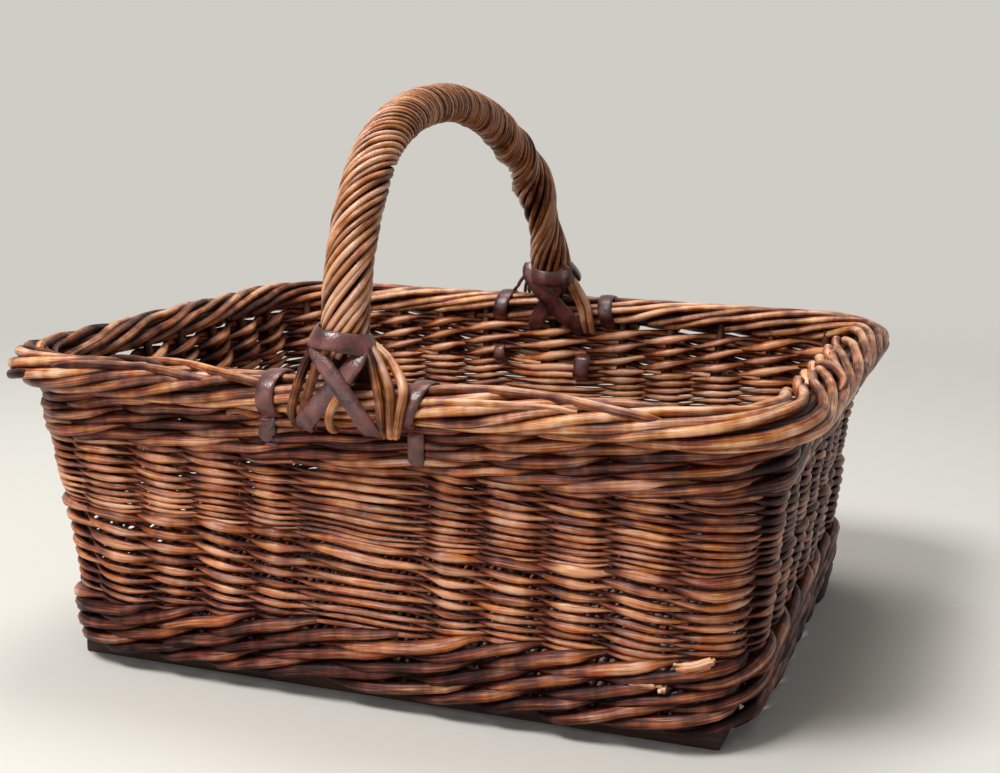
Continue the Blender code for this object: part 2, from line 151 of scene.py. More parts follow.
def new_material(name):
    """A material with only its shader and output, the function that adds nodes to it, and its shader."""
    made = bpy.data.materials.new(name)
    made.use_nodes = True
    return made, partial(add, made.node_tree), made.node_tree.nodes["Principled BSDF"]


# %% Helpers for finished meshes
def linked(name, data):
    """A new object in the scene."""
    made = bpy.data.objects.new(name, data)
    bpy.context.scene.collection.objects.link(made)
    return made


def guide_mesh(name, points=((0, 0, 0),), edges=(), **values):
    """An object that only guides a tree: points, lines and a number at each point."""
    mesh = bpy.data.meshes.new(name)
    mesh.from_pydata(points, edges, ())
    for label, numbers in values.items():
        mesh.attributes.new(label, "FLOAT", "POINT").data.foreach_set("value", numbers)
    return linked(name, mesh)


def grow(made, tree, **values):
    """Runs a tree on a guide object and keeps its result as that object's plain mesh."""
    step = made.modifiers.new(tree.name, "NODES")
    step.node_group = tree
    for item in tree.interface.items_tree:
        label = item.name.lower().replace(" ", "_")
        if item.item_type == "SOCKET" and item.in_out == "INPUT" and label in values:
            step[item.identifier] = values[label]
    graph = bpy.context.evaluated_depsgraph_get()
    mesh = bpy.data.meshes.new_from_object(made.evaluated_get(graph), depsgraph=graph)
    made.modifiers.remove(step)
    made.data = mesh
    print(f"{made.name}: {len(mesh.vertices)} points, {len(mesh.polygons)} faces")
    return made


def solid_object(name, mesh, material):
    """Turns a mesh that was built directly into an object with its faces outwards."""
    bmesh.ops.recalc_face_normals(mesh, faces=mesh.faces)
    data = bpy.data.meshes.new(name)
    mesh.to_mesh(data)
    mesh.free()
    data.shade_smooth()
    data.materials.append(material)
    print(f"{name}: {len(data.polygons)} faces")
    return linked(name, data)


# %% [markdown]
# ## The lines that the weave follows
# A weaver sets the stakes first and then works round them. The script does the same: a rounded
# rectangle for the wall's foot, one for its top and one for the border, as closed curves that start
# in the middle of the front, and a list of the stakes as shares of the way round.
# Every rod is then a formula in two numbers: which stake it is at, and how high.

# %% Outlines and stakes
def outline_at(size, share):
    """Place and outward direction on a rounded rectangle, at a share of the way round from its front."""
    length, width, corner = size
    half, side, arc = length / 2 - corner, width - 2 * corner, corner * math.pi / 2
    stretches = [(half, False), (arc, True), (side, False), (arc, True), (2 * half, False),
                 (arc, True), (side, False), (arc, True), (half, False)]
    left = (share % 1) * sum(stretch for stretch, _ in stretches)
    place, heading = Vector((0, -width / 2, 0)), 0
    for stretch, bends in stretches:
        step = min(left, stretch)
        if bends:
            centre = place + corner * Vector((-math.sin(heading), math.cos(heading), 0))
            heading += step / corner
            place = centre + corner * Vector((math.sin(heading), -math.cos(heading), 0))
        else:
            place = place + step * Vector((math.cos(heading), math.sin(heading), 0))
        left -= step
        if left <= 0:
            break
    return place, Vector((math.sin(heading), -math.cos(heading), 0))


def perimeter(size):
    """The way round a rounded rectangle."""
    length, width, corner = size
    return 2 * (length + width) - (8 - 2 * math.pi) * corner


def outline_curve(name, size, shift, height, points=360):
    """A closed curve on a rounded rectangle, only for trees to sample."""
    curve = bpy.data.curves.new(name, "CURVE")
    curve.dimensions = "3D"
    spline = curve.splines.new("POLY")
    spline.points.add(points - 1)
    spline.use_cyclic_u = True
    for index, point in enumerate(spline.points):
        place = outline_at(size, index / points)[0]
        point.co = (place.x + shift, place.y, height, 1)
    return linked(name, curve)


def stake_shares():
    """Shares of the way round of the stakes, with the handle's two legs as numbers 0 and 18."""
    middle_size = tuple((low + high) / 2 for low, high in zip(base_size, top_size))
    way = perimeter(middle_size)
    front, rear = front_foot_x, way / 2 - rear_foot_x
    beside = [handle_spacing + stake_spacing * index for index in range(stakes_beside_handle)]
    gaps = stakes_round_end + 1
    places = []
    for leg, other_leg in ((front, rear), (rear, way + front)):
        start, end = leg + beside[-1], other_leg - beside[-1]
        places += [leg] + [leg + step for step in beside]
        places += [start + (end - start) * index / gaps for index in range(1, gaps)]
        places += [other_leg - step for step in reversed(beside)]
    return [place / way for place in places]


shares = stake_shares()
stake_count = len(shares)
gaps = [(shares[(index + 1) % stake_count] - share) % 1 for index, share in enumerate(shares)]
foot_line = outline_curve("foot_line", base_size, base_shift, wall_foot)
top_line = outline_curve("top_line", top_size, 0, wall_top)
border_line = outline_curve("border_line", border_size, 0, border_middle)
stake_line = guide_mesh("stake_line", [(share, 0, 0) for share in shares], share=shares, gap=gaps)
print(stake_count, "stake places,", f"{perimeter(top_size) * 1000:.0f} mm round the top")

# %% [markdown]
# ## Two node groups that every rod uses
# The first finds a point of the wall from a stake number, which may lie between two stakes, a height
# and a distance outwards. A slow noise sways the whole wall by a millimetre or two, stakes and weavers
# together, as no hand sets stakes quite straight. The second group sweeps a round section along a curve
# and stores what the materials read: the length along the rod, the place round it, how far it stands
# proud, how openly each side of it is shown and a random tint. Storing them as attributes makes grain,
# wear and painted shade follow each rod, which no flat pattern can do: the finishes paint shade where
# a rod's sides meet its neighbours and where it dives behind a stake.

# %% Group: a place beside an outline
sway_waves_per_metre = 22.0
noise_middle = (0.5, 0.5, 0.5)


def share_of_stake(node, stake):
    """Nodes that turn a stake number, whole or not, into a share of the way round."""
    stakes = node("ObjectInfo", stake_line).outputs["Geometry"]
    number = node("WRAP", node("FLOOR", stake), float(stake_count), 0.0)
    gap, start = (node("SampleIndex", stakes, node("InputNamedAttribute", label), number)
                  for label in ("gap", "share"))
    return node("FRACT", node("MULTIPLY_ADD", node("FRACT", stake), gap, start))


def sampled(node, line, share):
    """Position and tangent of an outline at a share of the way round."""
    shape = node("ObjectInfo", line).outputs["Geometry"]
    found = node("SampleCurve", shape, {"Factor": share}, mode="FACTOR").outputs
    return found["Position"], found["Tangent"]


def square_to(node, way):
    """The level direction outwards, square to a way along an outline."""
    return node("VectorMath.NORMALIZE", node("VectorMath.CROSS_PRODUCT", way, (0, 0, 1)))


wall_place, node, given = new_tree(
    "wall_place", {"Stake": 0.0, "Height": 0.0, "Outward": 0.0, "Sway": 0.006}, ["Place", "Face"])
share = share_of_stake(node, given["Stake"])
foot, foot_way = sampled(node, foot_line, share)
top, top_way = sampled(node, top_line, share)
rise = node("MapRange", given["Height"], wall_foot, wall_top, clamp=False)
place = node("Mix", rise, foot, top, data_type="VECTOR", clamp_factor=False)
outward = square_to(node, node("Mix", rise, foot_way, top_way, data_type="VECTOR"))
moved = node("VectorMath.SCALE", outward, given["Outward"])
swaying = node("TexNoise", place, sway_waves_per_metre, 1.0).outputs["Color"]
swayed = node("VectorMath.SCALE", node("VectorMath.SUBTRACT", swaying, noise_middle), given["Sway"])
steady = node("VectorMath.ADD", moved, place)
node("NodeGroupOutput", node("VectorMath.ADD", steady, swayed), outward)

# %% Group: a rod swept along a curve
rod_sweep, node, given = new_tree("rod_sweep", {
    "Curve": "Geometry", "Radius": 0.002, "Crown": 1.0, "Lean": 0.0, "Tint": 0.5, "Sides": 8,
    "Face": Vector((0, 0, 1))})
stored = node("StoreNamedAttribute", given["Curve"], {"Name": "face", "Value": given["Face"]},
              data_type="FLOAT_VECTOR")
for label, value in (("along", node("SplineParameter").outputs["Length"]), ("crown", given["Crown"]),
                     ("lean", given["Lean"]), ("tint", given["Tint"])):
    stored = node("StoreNamedAttribute", stored, {"Name": label, "Value": value})
circle = node("CurvePrimitiveCircle", {"Resolution": given["Sides"], "Radius": 1.0})
section = node("StoreNamedAttribute", circle, {"Name": "ring", "Value": node("InputPosition")},
               data_type="FLOAT_VECTOR")
swept = node("CurveToMesh", {
    "Curve": stored, "Profile Curve": section, "Scale": given["Radius"], "Fill Caps": True})
face = node("InputNamedAttribute", "face", data_type="FLOAT_VECTOR")
across = node("ABSOLUTE", node("VectorMath.DOT_PRODUCT", node("InputNormal"), face))
shown = node("StoreNamedAttribute", swept, {"Name": "shown", "Value": across})
clean = node("RemoveAttribute", shown, {"Name": "face"})
node("NodeGroupOutput", node("SetShadeSmooth", clean))
print("groups ready:", wall_place.name, rod_sweep.name)

# %% [markdown]
# ## Finishes
# Willow rods were stained a dark purple-brown. Handling wore the stain off the crowns, where the rods
# bend round a stake. So one willow finish reads the stored crown and mixes colours of the same surface
# by how worn it is: dark stain, stain, worn orange-brown and bare pale wood. Painted shade and light go
# into the same mix: the stroke ends and the sides where rods meet are painted darker as shade, the foot
# as shade and dirt, the band under the rim as the border's shadow and the right end as shade, and the
# sides turned to the window are painted lighter as light and partly as sun fading. The dye took
# unevenly, so hue and strength drift along each rod. Willow without its bark is smooth and slightly
# waxy: IOR about 1.5, roughness about 0.4 to 0.6. Its fibres are finer than the render can show, so
# they are drawn about half a millimetre wide.

# %% Willow
fibre_width_mm = 0.5
fibre_length_mm = 22
patch_mm = 20
dye_mm = 13
drift_mm = 75
rod_radius_mm = 2.4
# Places, in metres: the foot, painted darker as shade and dirt; the band under the rim, painted as the
# border's shadow; the right end, painted darker as shade; and the sunny side
foot_shade_and_dirt_height = 0.080
rim_shadow_heights = (0.118, 0.148)
right_end_shade_span = (0.178, 0.198)
sunny_stretch = (-0.15, 0.20)
# The way to the window: sides turned to it are painted lighter, as light and partly as sun fading
window_side = (-0.30, -0.75, 0.60)
# Apart by this much, the patterns of two rods have nothing in common
rod_stride = 50.0
dye_hues = {"To Min": 0.455, "To Max": 0.55}
dye_strengths = {"To Min": 0.45, "To Max": 1.60}
relief_depth = 0.0004
willow_ior = 1.5


def set_stops(ramp, stops):
    """Gives a colour ramp its colours and their places."""
    while len(ramp.color_ramp.elements) < len(stops):
        ramp.color_ramp.elements.new(0.5)
    for element, (position, colour) in zip(ramp.color_ramp.elements, stops):
        element.position = position
        element.color = linear(colour)


def willow(name, stops, wear, roughness, rim_shadow=0.0, window_light_and_fading=0.0, sunny=(0.4, 1.0, 0.0), variety=1.0,
           right_end_shade_share=0.0):
    """Stained willow, worn by handling, with painted shade and light mixed into its wear. The stops are its
    colours from dark stain and painted crevice shade to bare wood.
    """
    made, node, shader = new_material(name)
    crown, lean, tint, along, shown = (
        node("Attribute", attribute_name=label).outputs["Fac"]
        for label in ("crown", "lean", "tint", "along", "shown"))
    ring = node("Attribute", attribute_name="ring").outputs["Vector"]
    place = node("TexCoord").outputs["Object"]
    apart = node("SeparateXYZ", place).outputs
    start = node("MULTIPLY", tint, rod_stride)
    around = node("VectorMath.SCALE", ring, rod_radius_mm / fibre_width_mm)
    lengthwise = node("MULTIPLY_ADD", along, 1000 / fibre_length_mm, start)
    fibre_place = node("VectorMath.ADD", around, node("CombineXYZ", 0, 0, lengthwise))
    fibres = node("TexNoise", fibre_place, 1.0, 3.0, 0.6)
    patch_place = node("CombineXYZ", node("MULTIPLY_ADD", along, 1000 / patch_mm, start), start)
    patches = node("TexNoise", patch_place, 1.0, 3.0, 0.6)
    drift = node("TexNoise", place, 1000 / drift_mm, 2.0)
    # The right end is painted darker, as the shade on that side
    right_end_shade = node("MapRange", apart["X"], *right_end_shade_span)
    # The foot is painted darker, partly as shade and partly as dirt
    foot_shade_and_dirt = node("MapRange", apart["Z"], 0, foot_shade_and_dirt_height, interpolation_type="SMOOTHSTEP")
    # A band under the rim: outside it is painted darker as the border's shadow, inside it is painted lighter
    # as light
    rim_shadow_band = node("MapRange", apart["Z"], *rim_shadow_heights, interpolation_type="SMOOTHSTEP")
    # Places on the sunny side that face the window are painted lighter: painted light, and partly sun fading
    sunward = node("VectorMath.DOT_PRODUCT", place, sunny)
    sunned = node("MapRange", sunward, *sunny_stretch, interpolation_type="SMOOTHSTEP")
    facing = node("VectorMath.DOT_PRODUCT", node("NewGeometry").outputs["Normal"], window_side)
    window_lit_and_faded = node("MULTIPLY", sunned, node("MapRange", facing))
    # Crowns are lighter as wear, and the stroke ends, where a rod dives behind a stake, are painted darker as
    # shade
    crown_wear_and_shade = node("MULTIPLY", crown, crown)
    # The sides of a rod turned towards its neighbours are painted darker, as the shade in the crevices
    # between rods
    painted_crevice_shade = node("MULTIPLY", shown, shown)
    rim_shadow_and_inner_light = node("MULTIPLY", rim_shadow_band, crown)
    # How far each of them wears a place or keeps it from wear, and how far each paints shade or light:
    # crown wear with painted shade at the stroke ends, painted crevice shade on the rods' sides, one end of
    # each stroke painted darker and the other lighter as shade and dirt, the foot painted darker as shade
    # and dirt, the rim's painted shadow outside and painted light inside, painted window light with some
    # sun fading, and painted shade at the right end
    worn = wear
    for value, share in ((crown_wear_and_shade, 0.20), (painted_crevice_shade, 0.42), (lean, -0.10), (tint, 0.26 * variety),
                         (patches, 0.85 * variety), (fibres, 1.15), (drift, 0.26), (foot_shade_and_dirt, 0.34),
                         (rim_shadow_and_inner_light, -rim_shadow), (window_lit_and_faded, window_light_and_fading), (right_end_shade, -right_end_shade_share)):
        worn = node("MULTIPLY_ADD", value, share, worn)
    ramp = node("ValToRGB", worn)
    set_stops(ramp, stops)
    dye_place = node("VectorMath.ADD", patch_place, ring)
    dye = node("SeparateXYZ", node("TexNoise", dye_place, patch_mm / dye_mm, 3.0).outputs["Color"]).outputs
    hue, strength = node("MapRange", dye["X"], dye_hues), node("MapRange", dye["Y"], dye_strengths)
    relief = node("MULTIPLY_ADD", patches, 0.5, fibres)
    fill(shader, {
        "Base Color": node("HueSaturation", {"Hue": hue, "Saturation": strength, "Color": ramp}),
        "Specular IOR Level": node("MapRange", worn, 0.1, 0.7, 0.12, 0.5),
        "Roughness": node("MapRange", worn, 0, 1, roughness + 0.16, roughness - 0.04),
        "Normal": node("Bump", {"Height": relief, "Strength": 0.5, "Distance": relief_depth}),
        "IOR": willow_ior})
    return made


weave_stops = ((0.0, "#160504"), (0.28, "#36100c"), (0.50, "#6e301d"), (0.74, "#b06a46"), (1.0, "#e1a37f"))
border_stops = ((0.0, "#1a0706"), (0.29, "#3a140e"), (0.53, "#713720"), (0.76, "#b57049"), (1.0, "#e6b189"))
stake_stops = ((0.0, "#130705"), (0.4, "#2a120c"), (0.8, "#52291a"), (1.0, "#7d4930"))
handle_stops = ((0.0, "#1a0706"), (0.26, "#3e190e"), (0.50, "#7d4625"), (0.75, "#b0714c"), (1.0, "#d8a585"))
weave_willow = willow("stained_willow_weavers", weave_stops, -1.53, 0.36, rim_shadow=0.18, window_light_and_fading=0.20,
                      sunny=(0.7, 1.0, 0.0), variety=1.25, right_end_shade_share=0.15)
border_willow = willow("stained_willow_border", border_stops, -1.66, 0.34, window_light_and_fading=0.17, variety=1.55)
handle_willow = willow("worn_willow_handle", handle_stops, -1.80, 0.30, window_light_and_fading=0.22, variety=1.9)
stake_willow = willow("dark_stained_stakes", stake_stops, -1.28, 0.58)
print("willow finishes ready")

# %% [markdown]
# Leather straps are thin bridle leather gone hard and dark: a fine pebbled grain, creases, edges
# gone darker, and a low satin gloss. The runners are softwood stained nearly black-brown and sawn
# along the grain.

# %% Leather and runner wood
leather_grain_mm = 0.9
leather_crease_mm = 9
leather_ior = 1.5
wood_ring_mm = 2.2
wood_length_mm = 90


def leather():
    """Old dark maroon leather."""
    made, node, shader = new_material("aged_maroon_leather")
    place = node("TexCoord").outputs["Object"]
    grain = node("TexVoronoi", place, 1000 / leather_grain_mm)
    creases = node("TexNoise", place, 1000 / leather_crease_mm, 4.0, 0.6)
    edge = node("Attribute", attribute_name="edge").outputs["Fac"]
    ramp = node("ValToRGB", node("MULTIPLY_ADD", edge, -0.09, creases))
    set_stops(ramp, ((0.30, "#2a0f0d"), (0.72, "#82453f")))
    relief = node("MULTIPLY_ADD", creases, 2.0, grain)
    fill(shader, {
        "Base Color": ramp, "Roughness": node("MapRange", creases, 0, 1, 0.38, 0.18),
        "Normal": node("Bump", {"Height": relief, "Strength": 0.25, "Distance": relief_depth}),
        "IOR": leather_ior, "Specular IOR Level": 0.6})
    return made


def runner_wood():
    """Dark stained softwood with its grain along X."""
    made, node, shader = new_material("dark_stained_softwood")
    waves = (1000 / wood_length_mm, 1000 / wood_ring_mm, 1000 / wood_ring_mm)
    stretched = node("Mapping", {"Vector": node("TexCoord").outputs["Object"], "Scale": waves})
    grain = node("TexNoise", stretched, 1.0, 4.0, 0.6)
    ramp = node("ValToRGB", grain)
    set_stops(ramp, ((0.3, "#1d110d"), (0.7, "#452c23")))
    fill(shader, {
        "Base Color": ramp, "Roughness": 0.62, "Specular IOR Level": 0.3,
        "Normal": node("Bump", {"Height": grain, "Strength": 0.5, "Distance": 0.0006})})
    return made


strap_leather = leather()
dark_wood = runner_wood()
print("leather and runner wood ready")

# %% [markdown]
# ## Stakes
# The stakes are the upright rods that carry everything. Between two rows of weaving they show as dark
# bars. They could be copied by hand, but a tree that duplicates one line and places it by stake number
# keeps them in step with the weave. The handle's own legs take the places 0 and 18. The start and the
# end of this tree serve the next ones too, so they are functions.

# %% The start and the end of a tree of rods
def copied_lines(node, amount, points):
    """Copies of one line, the number of each copy and how far along it each point lies, before it moves."""
    line = node("ResampleCurve", node("CurvePrimitiveLine"), {"Count": points})
    copies = node("DuplicateElements", line, {"Amount": amount}, domain="SPLINE")
    kept = node("CaptureAttribute")
    kept.capture_items.new("FLOAT", "Factor")
    fill(kept, {"Geometry": copies, "Factor": node("SplineParameter")})
    return kept.outputs["Geometry"], copies.outputs["Duplicate Index"], kept.outputs["Factor"]


def shaken(node, place, waves):
    """Three slow random numbers about nought, which change along a rod and from rod to rod."""
    spread_out = node("VectorMath.MULTIPLY", node("CombineXYZ", *place), waves)
    random = node("TexNoise", spread_out, 1.0, 1.0).outputs["Color"]
    return node("SeparateXYZ", node("VectorMath.SUBTRACT", random, noise_middle)).outputs


def close_tree(node, given, lines, **looks):
    """The end of a tree: rods swept along its lines, as real geometry with their material."""
    looks = {label.capitalize(): value for label, value in looks.items()}
    rods = node("Group", {"Curve": lines, **looks}, node_tree=rod_sweep)
    real = node("RealizeInstances", rods)
    node("NodeGroupOutput", node("SetMaterial", real, {"Material": given["Material"]}))


def close_in_wall(node, given, lines, stake, height, outward, **looks):
    """The end of a tree whose rods lie in the wall, each point at a stake number and a height."""
    place = node("Group", {"Stake": stake, "Height": height, "Outward": outward}, node_tree=wall_place)
    laid = node("SetPosition", lines, {"Position": place})
    close_tree(node, given, laid, face=place.outputs["Face"], **looks)


# %% Grow the stakes
stakes_tree, node, given = new_tree("stakes", {
    "Stakes": stake_count, "Low": 0.0, "High": 0.1, "Radius": 0.003, "Points": 8, "Seed": 3,
    "Material": "Material"})
drawn, number, _ = copied_lines(node, given["Stakes"], given["Points"])
height = node("MapRange", node("SplineParameter"), 0, 1, given["Low"], given["High"])
tint = node("RandomValue", {"ID": number, "Seed": given["Seed"]})
close_in_wall(node, given, drawn, number, height, 0.0, radius=given["Radius"], tint=tint)

stakes = grow(guide_mesh("stakes"), stakes_tree, stakes=stake_count, low=wall_foot + 0.001,
              high=border_middle, radius=stake_radius, material=stake_willow)

# %% [markdown]
# ## Waling
# A wale is three rods worked together. Each passes in front of two stakes and behind one, and rises as
# it goes to the right, so its strokes lie on each other like the strands of a rope. One rod could be
# drawn with a curve and copied, but a formula in the stake number draws all of them: a triangle wave
# of period three says when the rod is behind a stake, and a sawtooth says how high it lies.

# %% Tree: a three-rod wale
# The noise keeps within a quarter of nought, so it is taken four times
full_swing = 4.0
wale_taper = 0.42
wale_unevenness = 0.9


def swelling(node, stake, swell):
    """How much higher the foot wale is at a stake: most on the right side, least on the left."""
    way_round = node("MULTIPLY", stake, 2 * math.pi / stake_count)
    return node("MULTIPLY", node("SINE", way_round), swell)


wale_tree, node, given = new_tree("three_rod_wale", {
    "Rows": 3, "Row height": 0.01, "Low": 0.011, "Swell": 0.0, "Radius": 0.0024, "Stakes": stake_count,
    "Stake radius": stake_radius, "Points": 6, "Wobble": 0.0005, "Lift": 0.5, "Stain": 0.0, "Seed": 1,
    "Material": "Material"})
points = node("MULTIPLY_ADD", given["Stakes"], given["Points"], 1.0)
drawn, number, factor = copied_lines(node, node("MULTIPLY", given["Rows"], 3.0), points)
phase = node("MODULO", number, 3.0)
row = node("FLOOR", node("DIVIDE", number, 3.0))
passed = node("MULTIPLY", factor, given["Stakes"])
stake = node("ADD", passed, phase)
nearest = node("MINIMUM", node("PINGPONG", passed, 1.5), 1.0)
crown = node("MULTIPLY", node("COSINE", node("MULTIPLY", nearest, math.pi)), -1.0)
lean = node("SINE", node("MULTIPLY", passed, 2 * math.pi / 3))
stage = node("WRAP", node("SUBTRACT", passed, 0.5), 3.0, 0.0)
rising = node("SUBTRACT", stage, 1.0)
falling = node("MULTIPLY_ADD", stage, -2.0, 5.0)
lift = node("SMOOTH_MIN", rising, falling, 0.8)
level = node("MULTIPLY_ADD", lift, given["Lift"], node("ADD", row, 0.5))
swollen_level = node("MULTIPLY_ADD", level, swelling(node, stake, given["Swell"]), level)
height = node("MULTIPLY_ADD", swollen_level, given["Row height"], given["Low"])
seat = node("ADD", given["Radius"], given["Stake radius"])
shift = shaken(node, (stake, number, given["Seed"]), (0.45, 5.3, 7.7))
wobble = node("MULTIPLY", given["Wobble"], full_swing)
height = node("MULTIPLY_ADD", shift["X"], wobble, height)
outward = node("MULTIPLY_ADD", shift["Y"], wobble, node("MULTIPLY", crown, seat))
stout = node("MULTIPLY", node("MULTIPLY_ADD", shift["Z"], wale_unevenness, 1.0), given["Radius"])
tapered = node("MULTIPLY_ADD", node("MULTIPLY", crown, crown), wale_taper, 1 - wale_taper)
# Lowering the tint paints a whole wale darker: shade and dirt at the foot, the border's shadow at the top
tint = node("SUBTRACT", node("RandomValue", {"ID": number, "Seed": given["Seed"]}), given["Stain"])
close_in_wall(node, given, drawn, stake, height, outward, radius=node("MULTIPLY", stout, tapered),
              crown=crown, lean=lean, tint=tint)

# %% Grow the foot wale and the top wale
wale_rows = 3
foot_wale_swell = 0.20
# The top wale reaches a little further than its packed band, down to the randing and up into the border
top_wale_drop = 0.0012
top_wale_end = border_low.z + 0.001


def wale(name, packed, radius, wobble, lift, seed, stain, swell=0.0, drop=0.0, end=0.0):
    """The rows of waling that fill the height of a packed band, or reach up to the end given."""
    low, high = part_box(packed)[0][2] - drop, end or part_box(packed)[1][2]
    return grow(guide_mesh(name), wale_tree, rows=wale_rows, row_height=(high - low) / wale_rows, low=low,
                radius=radius, wobble=wobble, lift=lift, seed=seed, stain=stain, swell=swell,
                material=weave_willow)


# The foot wale is painted darker as shade and dirt, the top wale as the shadow under the border
foot_wale = wale("foot_waling", "foot_wale", 0.0035, 0.0007, 0.65, 4, 0.15, foot_wale_swell)
top_wale = wale("top_waling", "top_wale", 0.0031, 0.0006, 0.46, 9, 0.12, drop=top_wale_drop, end=top_wale_end)

# %% [markdown]
# ## French randing
# The two deep bands between the wales are French randing. One rod starts at each stake, all go round
# together, in front of one stake and behind the next, and each climbs a little with every stroke.
# That stacks the strokes in a column over each stake. The rods go in with their thin ends first, so
# every band starts fine and ends coarse. The tree draws one rod as a wave over the stakes, and
# duplicates it once for each stake. The wave is a flattened cosine, because a stiff rod lies nearly
# straight over a stake and dives between two, and it presses the stake back a little. The handle's
# two legs, at stake numbers 0 and 18, are stiffer than a stake, so strokes over them are longer.

# %% Tree: French randing
# A rod's two ends are tucked this share of a stroke behind a stake
tuck = 0.45
rand_unevenness = 0.8
rand_tree, node, given = new_tree("french_rand", {
    "Rods": stake_count, "Strokes": 8.0, "Points": 16, "Low": 0.04, "High": 0.09, "Rise": 0.0,
    "Thin": 0.0014, "Thick": 0.0023, "Gain": 0.3, "Pinch": 0.5, "Press": 0.66, "Leg": 0.22,
    "Stake radius": stake_radius, "Wobble": 0.0004, "Seed": 1, "Material": "Material"})
points = node("MULTIPLY", given["Strokes"], given["Points"])
drawn, number, factor = copied_lines(node, given["Rods"], points)
stroke = node("MapRange", factor, 0, 1, -tuck, node("ADD", given["Strokes"], tuck))
stake = node("MULTIPLY_ADD", stroke, -2.0, number)
made = node("MapRange", stroke, 0, given["Strokes"])
coarse = node("MULTIPLY_ADD", made, given["Gain"], node("SUBTRACT", 1.0, given["Gain"]))
low = node("ADD", swelling(node, stake, given["Rise"]), given["Low"])
height = node("MapRange", node("MULTIPLY", made, coarse), 0, 1, low, given["High"], clamp=False)
turned = node("MULTIPLY", stroke, 2 * math.pi)
crown = node("SINE", node("MULTIPLY", node("COSINE", turned), math.pi / 2))
lean = node("SINE", turned)
shift = shaken(node, (stroke, number, given["Seed"]), (1.1, 4.1, 6.3))
wobble = node("MULTIPLY", given["Wobble"], full_swing)
height = node("MULTIPLY_ADD", shift["X"], wobble, height)
full = node("MapRange", made, 0, 1, given["Thin"], given["Thick"])
pinched = node("MULTIPLY", node("MULTIPLY", lean, lean), given["Pinch"])
swollen = node("MULTIPLY_ADD", shift["Z"], rand_unevenness, node("SUBTRACT", 1.0, pinched))
seat = node("MULTIPLY", node("ADD", full, given["Stake radius"]), given["Press"])
outward = node("MULTIPLY_ADD", shift["Y"], wobble, node("MULTIPLY", crown, seat))
from_leg = node("WRAP", stake, stake_count / 4, -stake_count / 4)
pushed = node("SINE", node("MULTIPLY", node("Clamp", from_leg, -1.0, 1.0), math.pi))
spread = node("MULTIPLY_ADD", pushed, given["Leg"], stake)
tint = node("RandomValue", {"ID": number, "Seed": given["Seed"]})
close_in_wall(node, given, drawn, spread, height, outward, radius=node("MULTIPLY", full, swollen),
              crown=crown, lean=lean, tint=tint)

# %% Grow the two bands of randing
# How far inside its packed band the first and the last stroke lie, as shares of their own radius
first_inside = 0.1
last_inside = 0.6


def rand(name, low_node, high_node, strokes, thin, thick, seed, rise=0.0):
    """A band of randing over the height of two packed bands."""
    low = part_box(low_node)[0][2] + first_inside * thin
    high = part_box(high_node)[1][2] - last_inside * thick
    return grow(guide_mesh(name), rand_tree, strokes=strokes, thin=thin, thick=thick, low=low, high=high,
                seed=seed, rise=rise, material=weave_willow)


foot_wale_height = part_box("foot_wale")[1][2] - wall_foot
lower_rand = rand("lower_randing", "lower_rand_thin", "lower_rand_thick", 8.0, 0.0020, 0.0033, 11,
                  foot_wale_swell * foot_wale_height)
upper_rand = rand("upper_randing", "upper_rand_thin", "upper_rand_thick", 9.0, 0.0017, 0.0030, 23)

# %% [markdown]
# ## Paths and laid rods
# The base, the bow and the loose rod ends aren't set by a stake number: each is a rod laid along its
# own path. Python draws those paths as plain lines with a radius and a tint at each point, and one
# short tree sweeps them all. The same smooth curve through a few chosen points serves each of them.

# %% Tree: rods laid along drawn lines
def smooth_path(knots, steps):
    """Points on a smooth curve through the knots."""
    path, last = [], len(knots) - 1
    for index in range(last):
        start, end = knots[index], knots[index + 1]
        before, after = knots[max(index - 1, 0)], knots[min(index + 2, last)]
        path.extend(interpolate_bezier(
            start, start + (end - before) / 6, end - (after - start) / 6, end, steps + 1)[:-1])
    return path + [knots[-1]]


laid_tree, node, given = new_tree("laid_rods", {
    "Lines": "Geometry", "Step": 0.003, "Sides": 8, "Material": "Material"})
lines = node("MeshToCurve", given["Lines"])
even = node("ResampleCurve", lines, {"Length": given["Step"]}, mode="LENGTH")
looks = {label: node("InputNamedAttribute", label) for label in ("radius", "tint", "crown")}
close_tree(node, given, even, sides=given["Sides"], **looks)


def laid_rods(name, rods, material, step=0.003, sides=8):
    """Rods along paths. Each rod is its path, its radius at each point, its tint and how proud it lies."""
    points, edges, radii, tints, crowns = [], [], [], [], []
    for path, rod_radii, tint, crown in rods:
        start = len(points)
        points.extend(path)
        edges.extend((start + index, start + index + 1) for index in range(len(path) - 1))
        radii.extend(rod_radii)
        tints.extend([tint] * len(path))
        crowns.extend([crown] * len(path))
    guide = guide_mesh(name, points, edges, radius=radii, tint=tints, crown=crowns)
    return grow(guide, laid_tree, step=step, sides=sides, material=material)


# %% [markdown]
# ## The woven base
# Nine thick sticks run lengthwise, and thin rods are woven across them, over one and under the next.
# Seen from above it is the floor of the basket. Each crossing rod is a cosine wave across the sticks,
# with its ends on the rounded outline.

# %% Grow the base
base_low, base_high = (Vector(corner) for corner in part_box("woven_base"))
# The base ends this far inside the wall's centre line
base_inset = 0.0015
base_reach = (base_high.x - base_low.x) / 2 - base_size[0] / 2 + base_inset
base_stick_count = 9
base_stick_radius = 0.0026
base_rod_radius = 0.0013
base_rod_spacing = 2.15 * base_rod_radius
base_rod_steps = 40
base_sway = 0.0006
base_margin = 0.014
base_level = (base_low.z + base_high.z) / 2


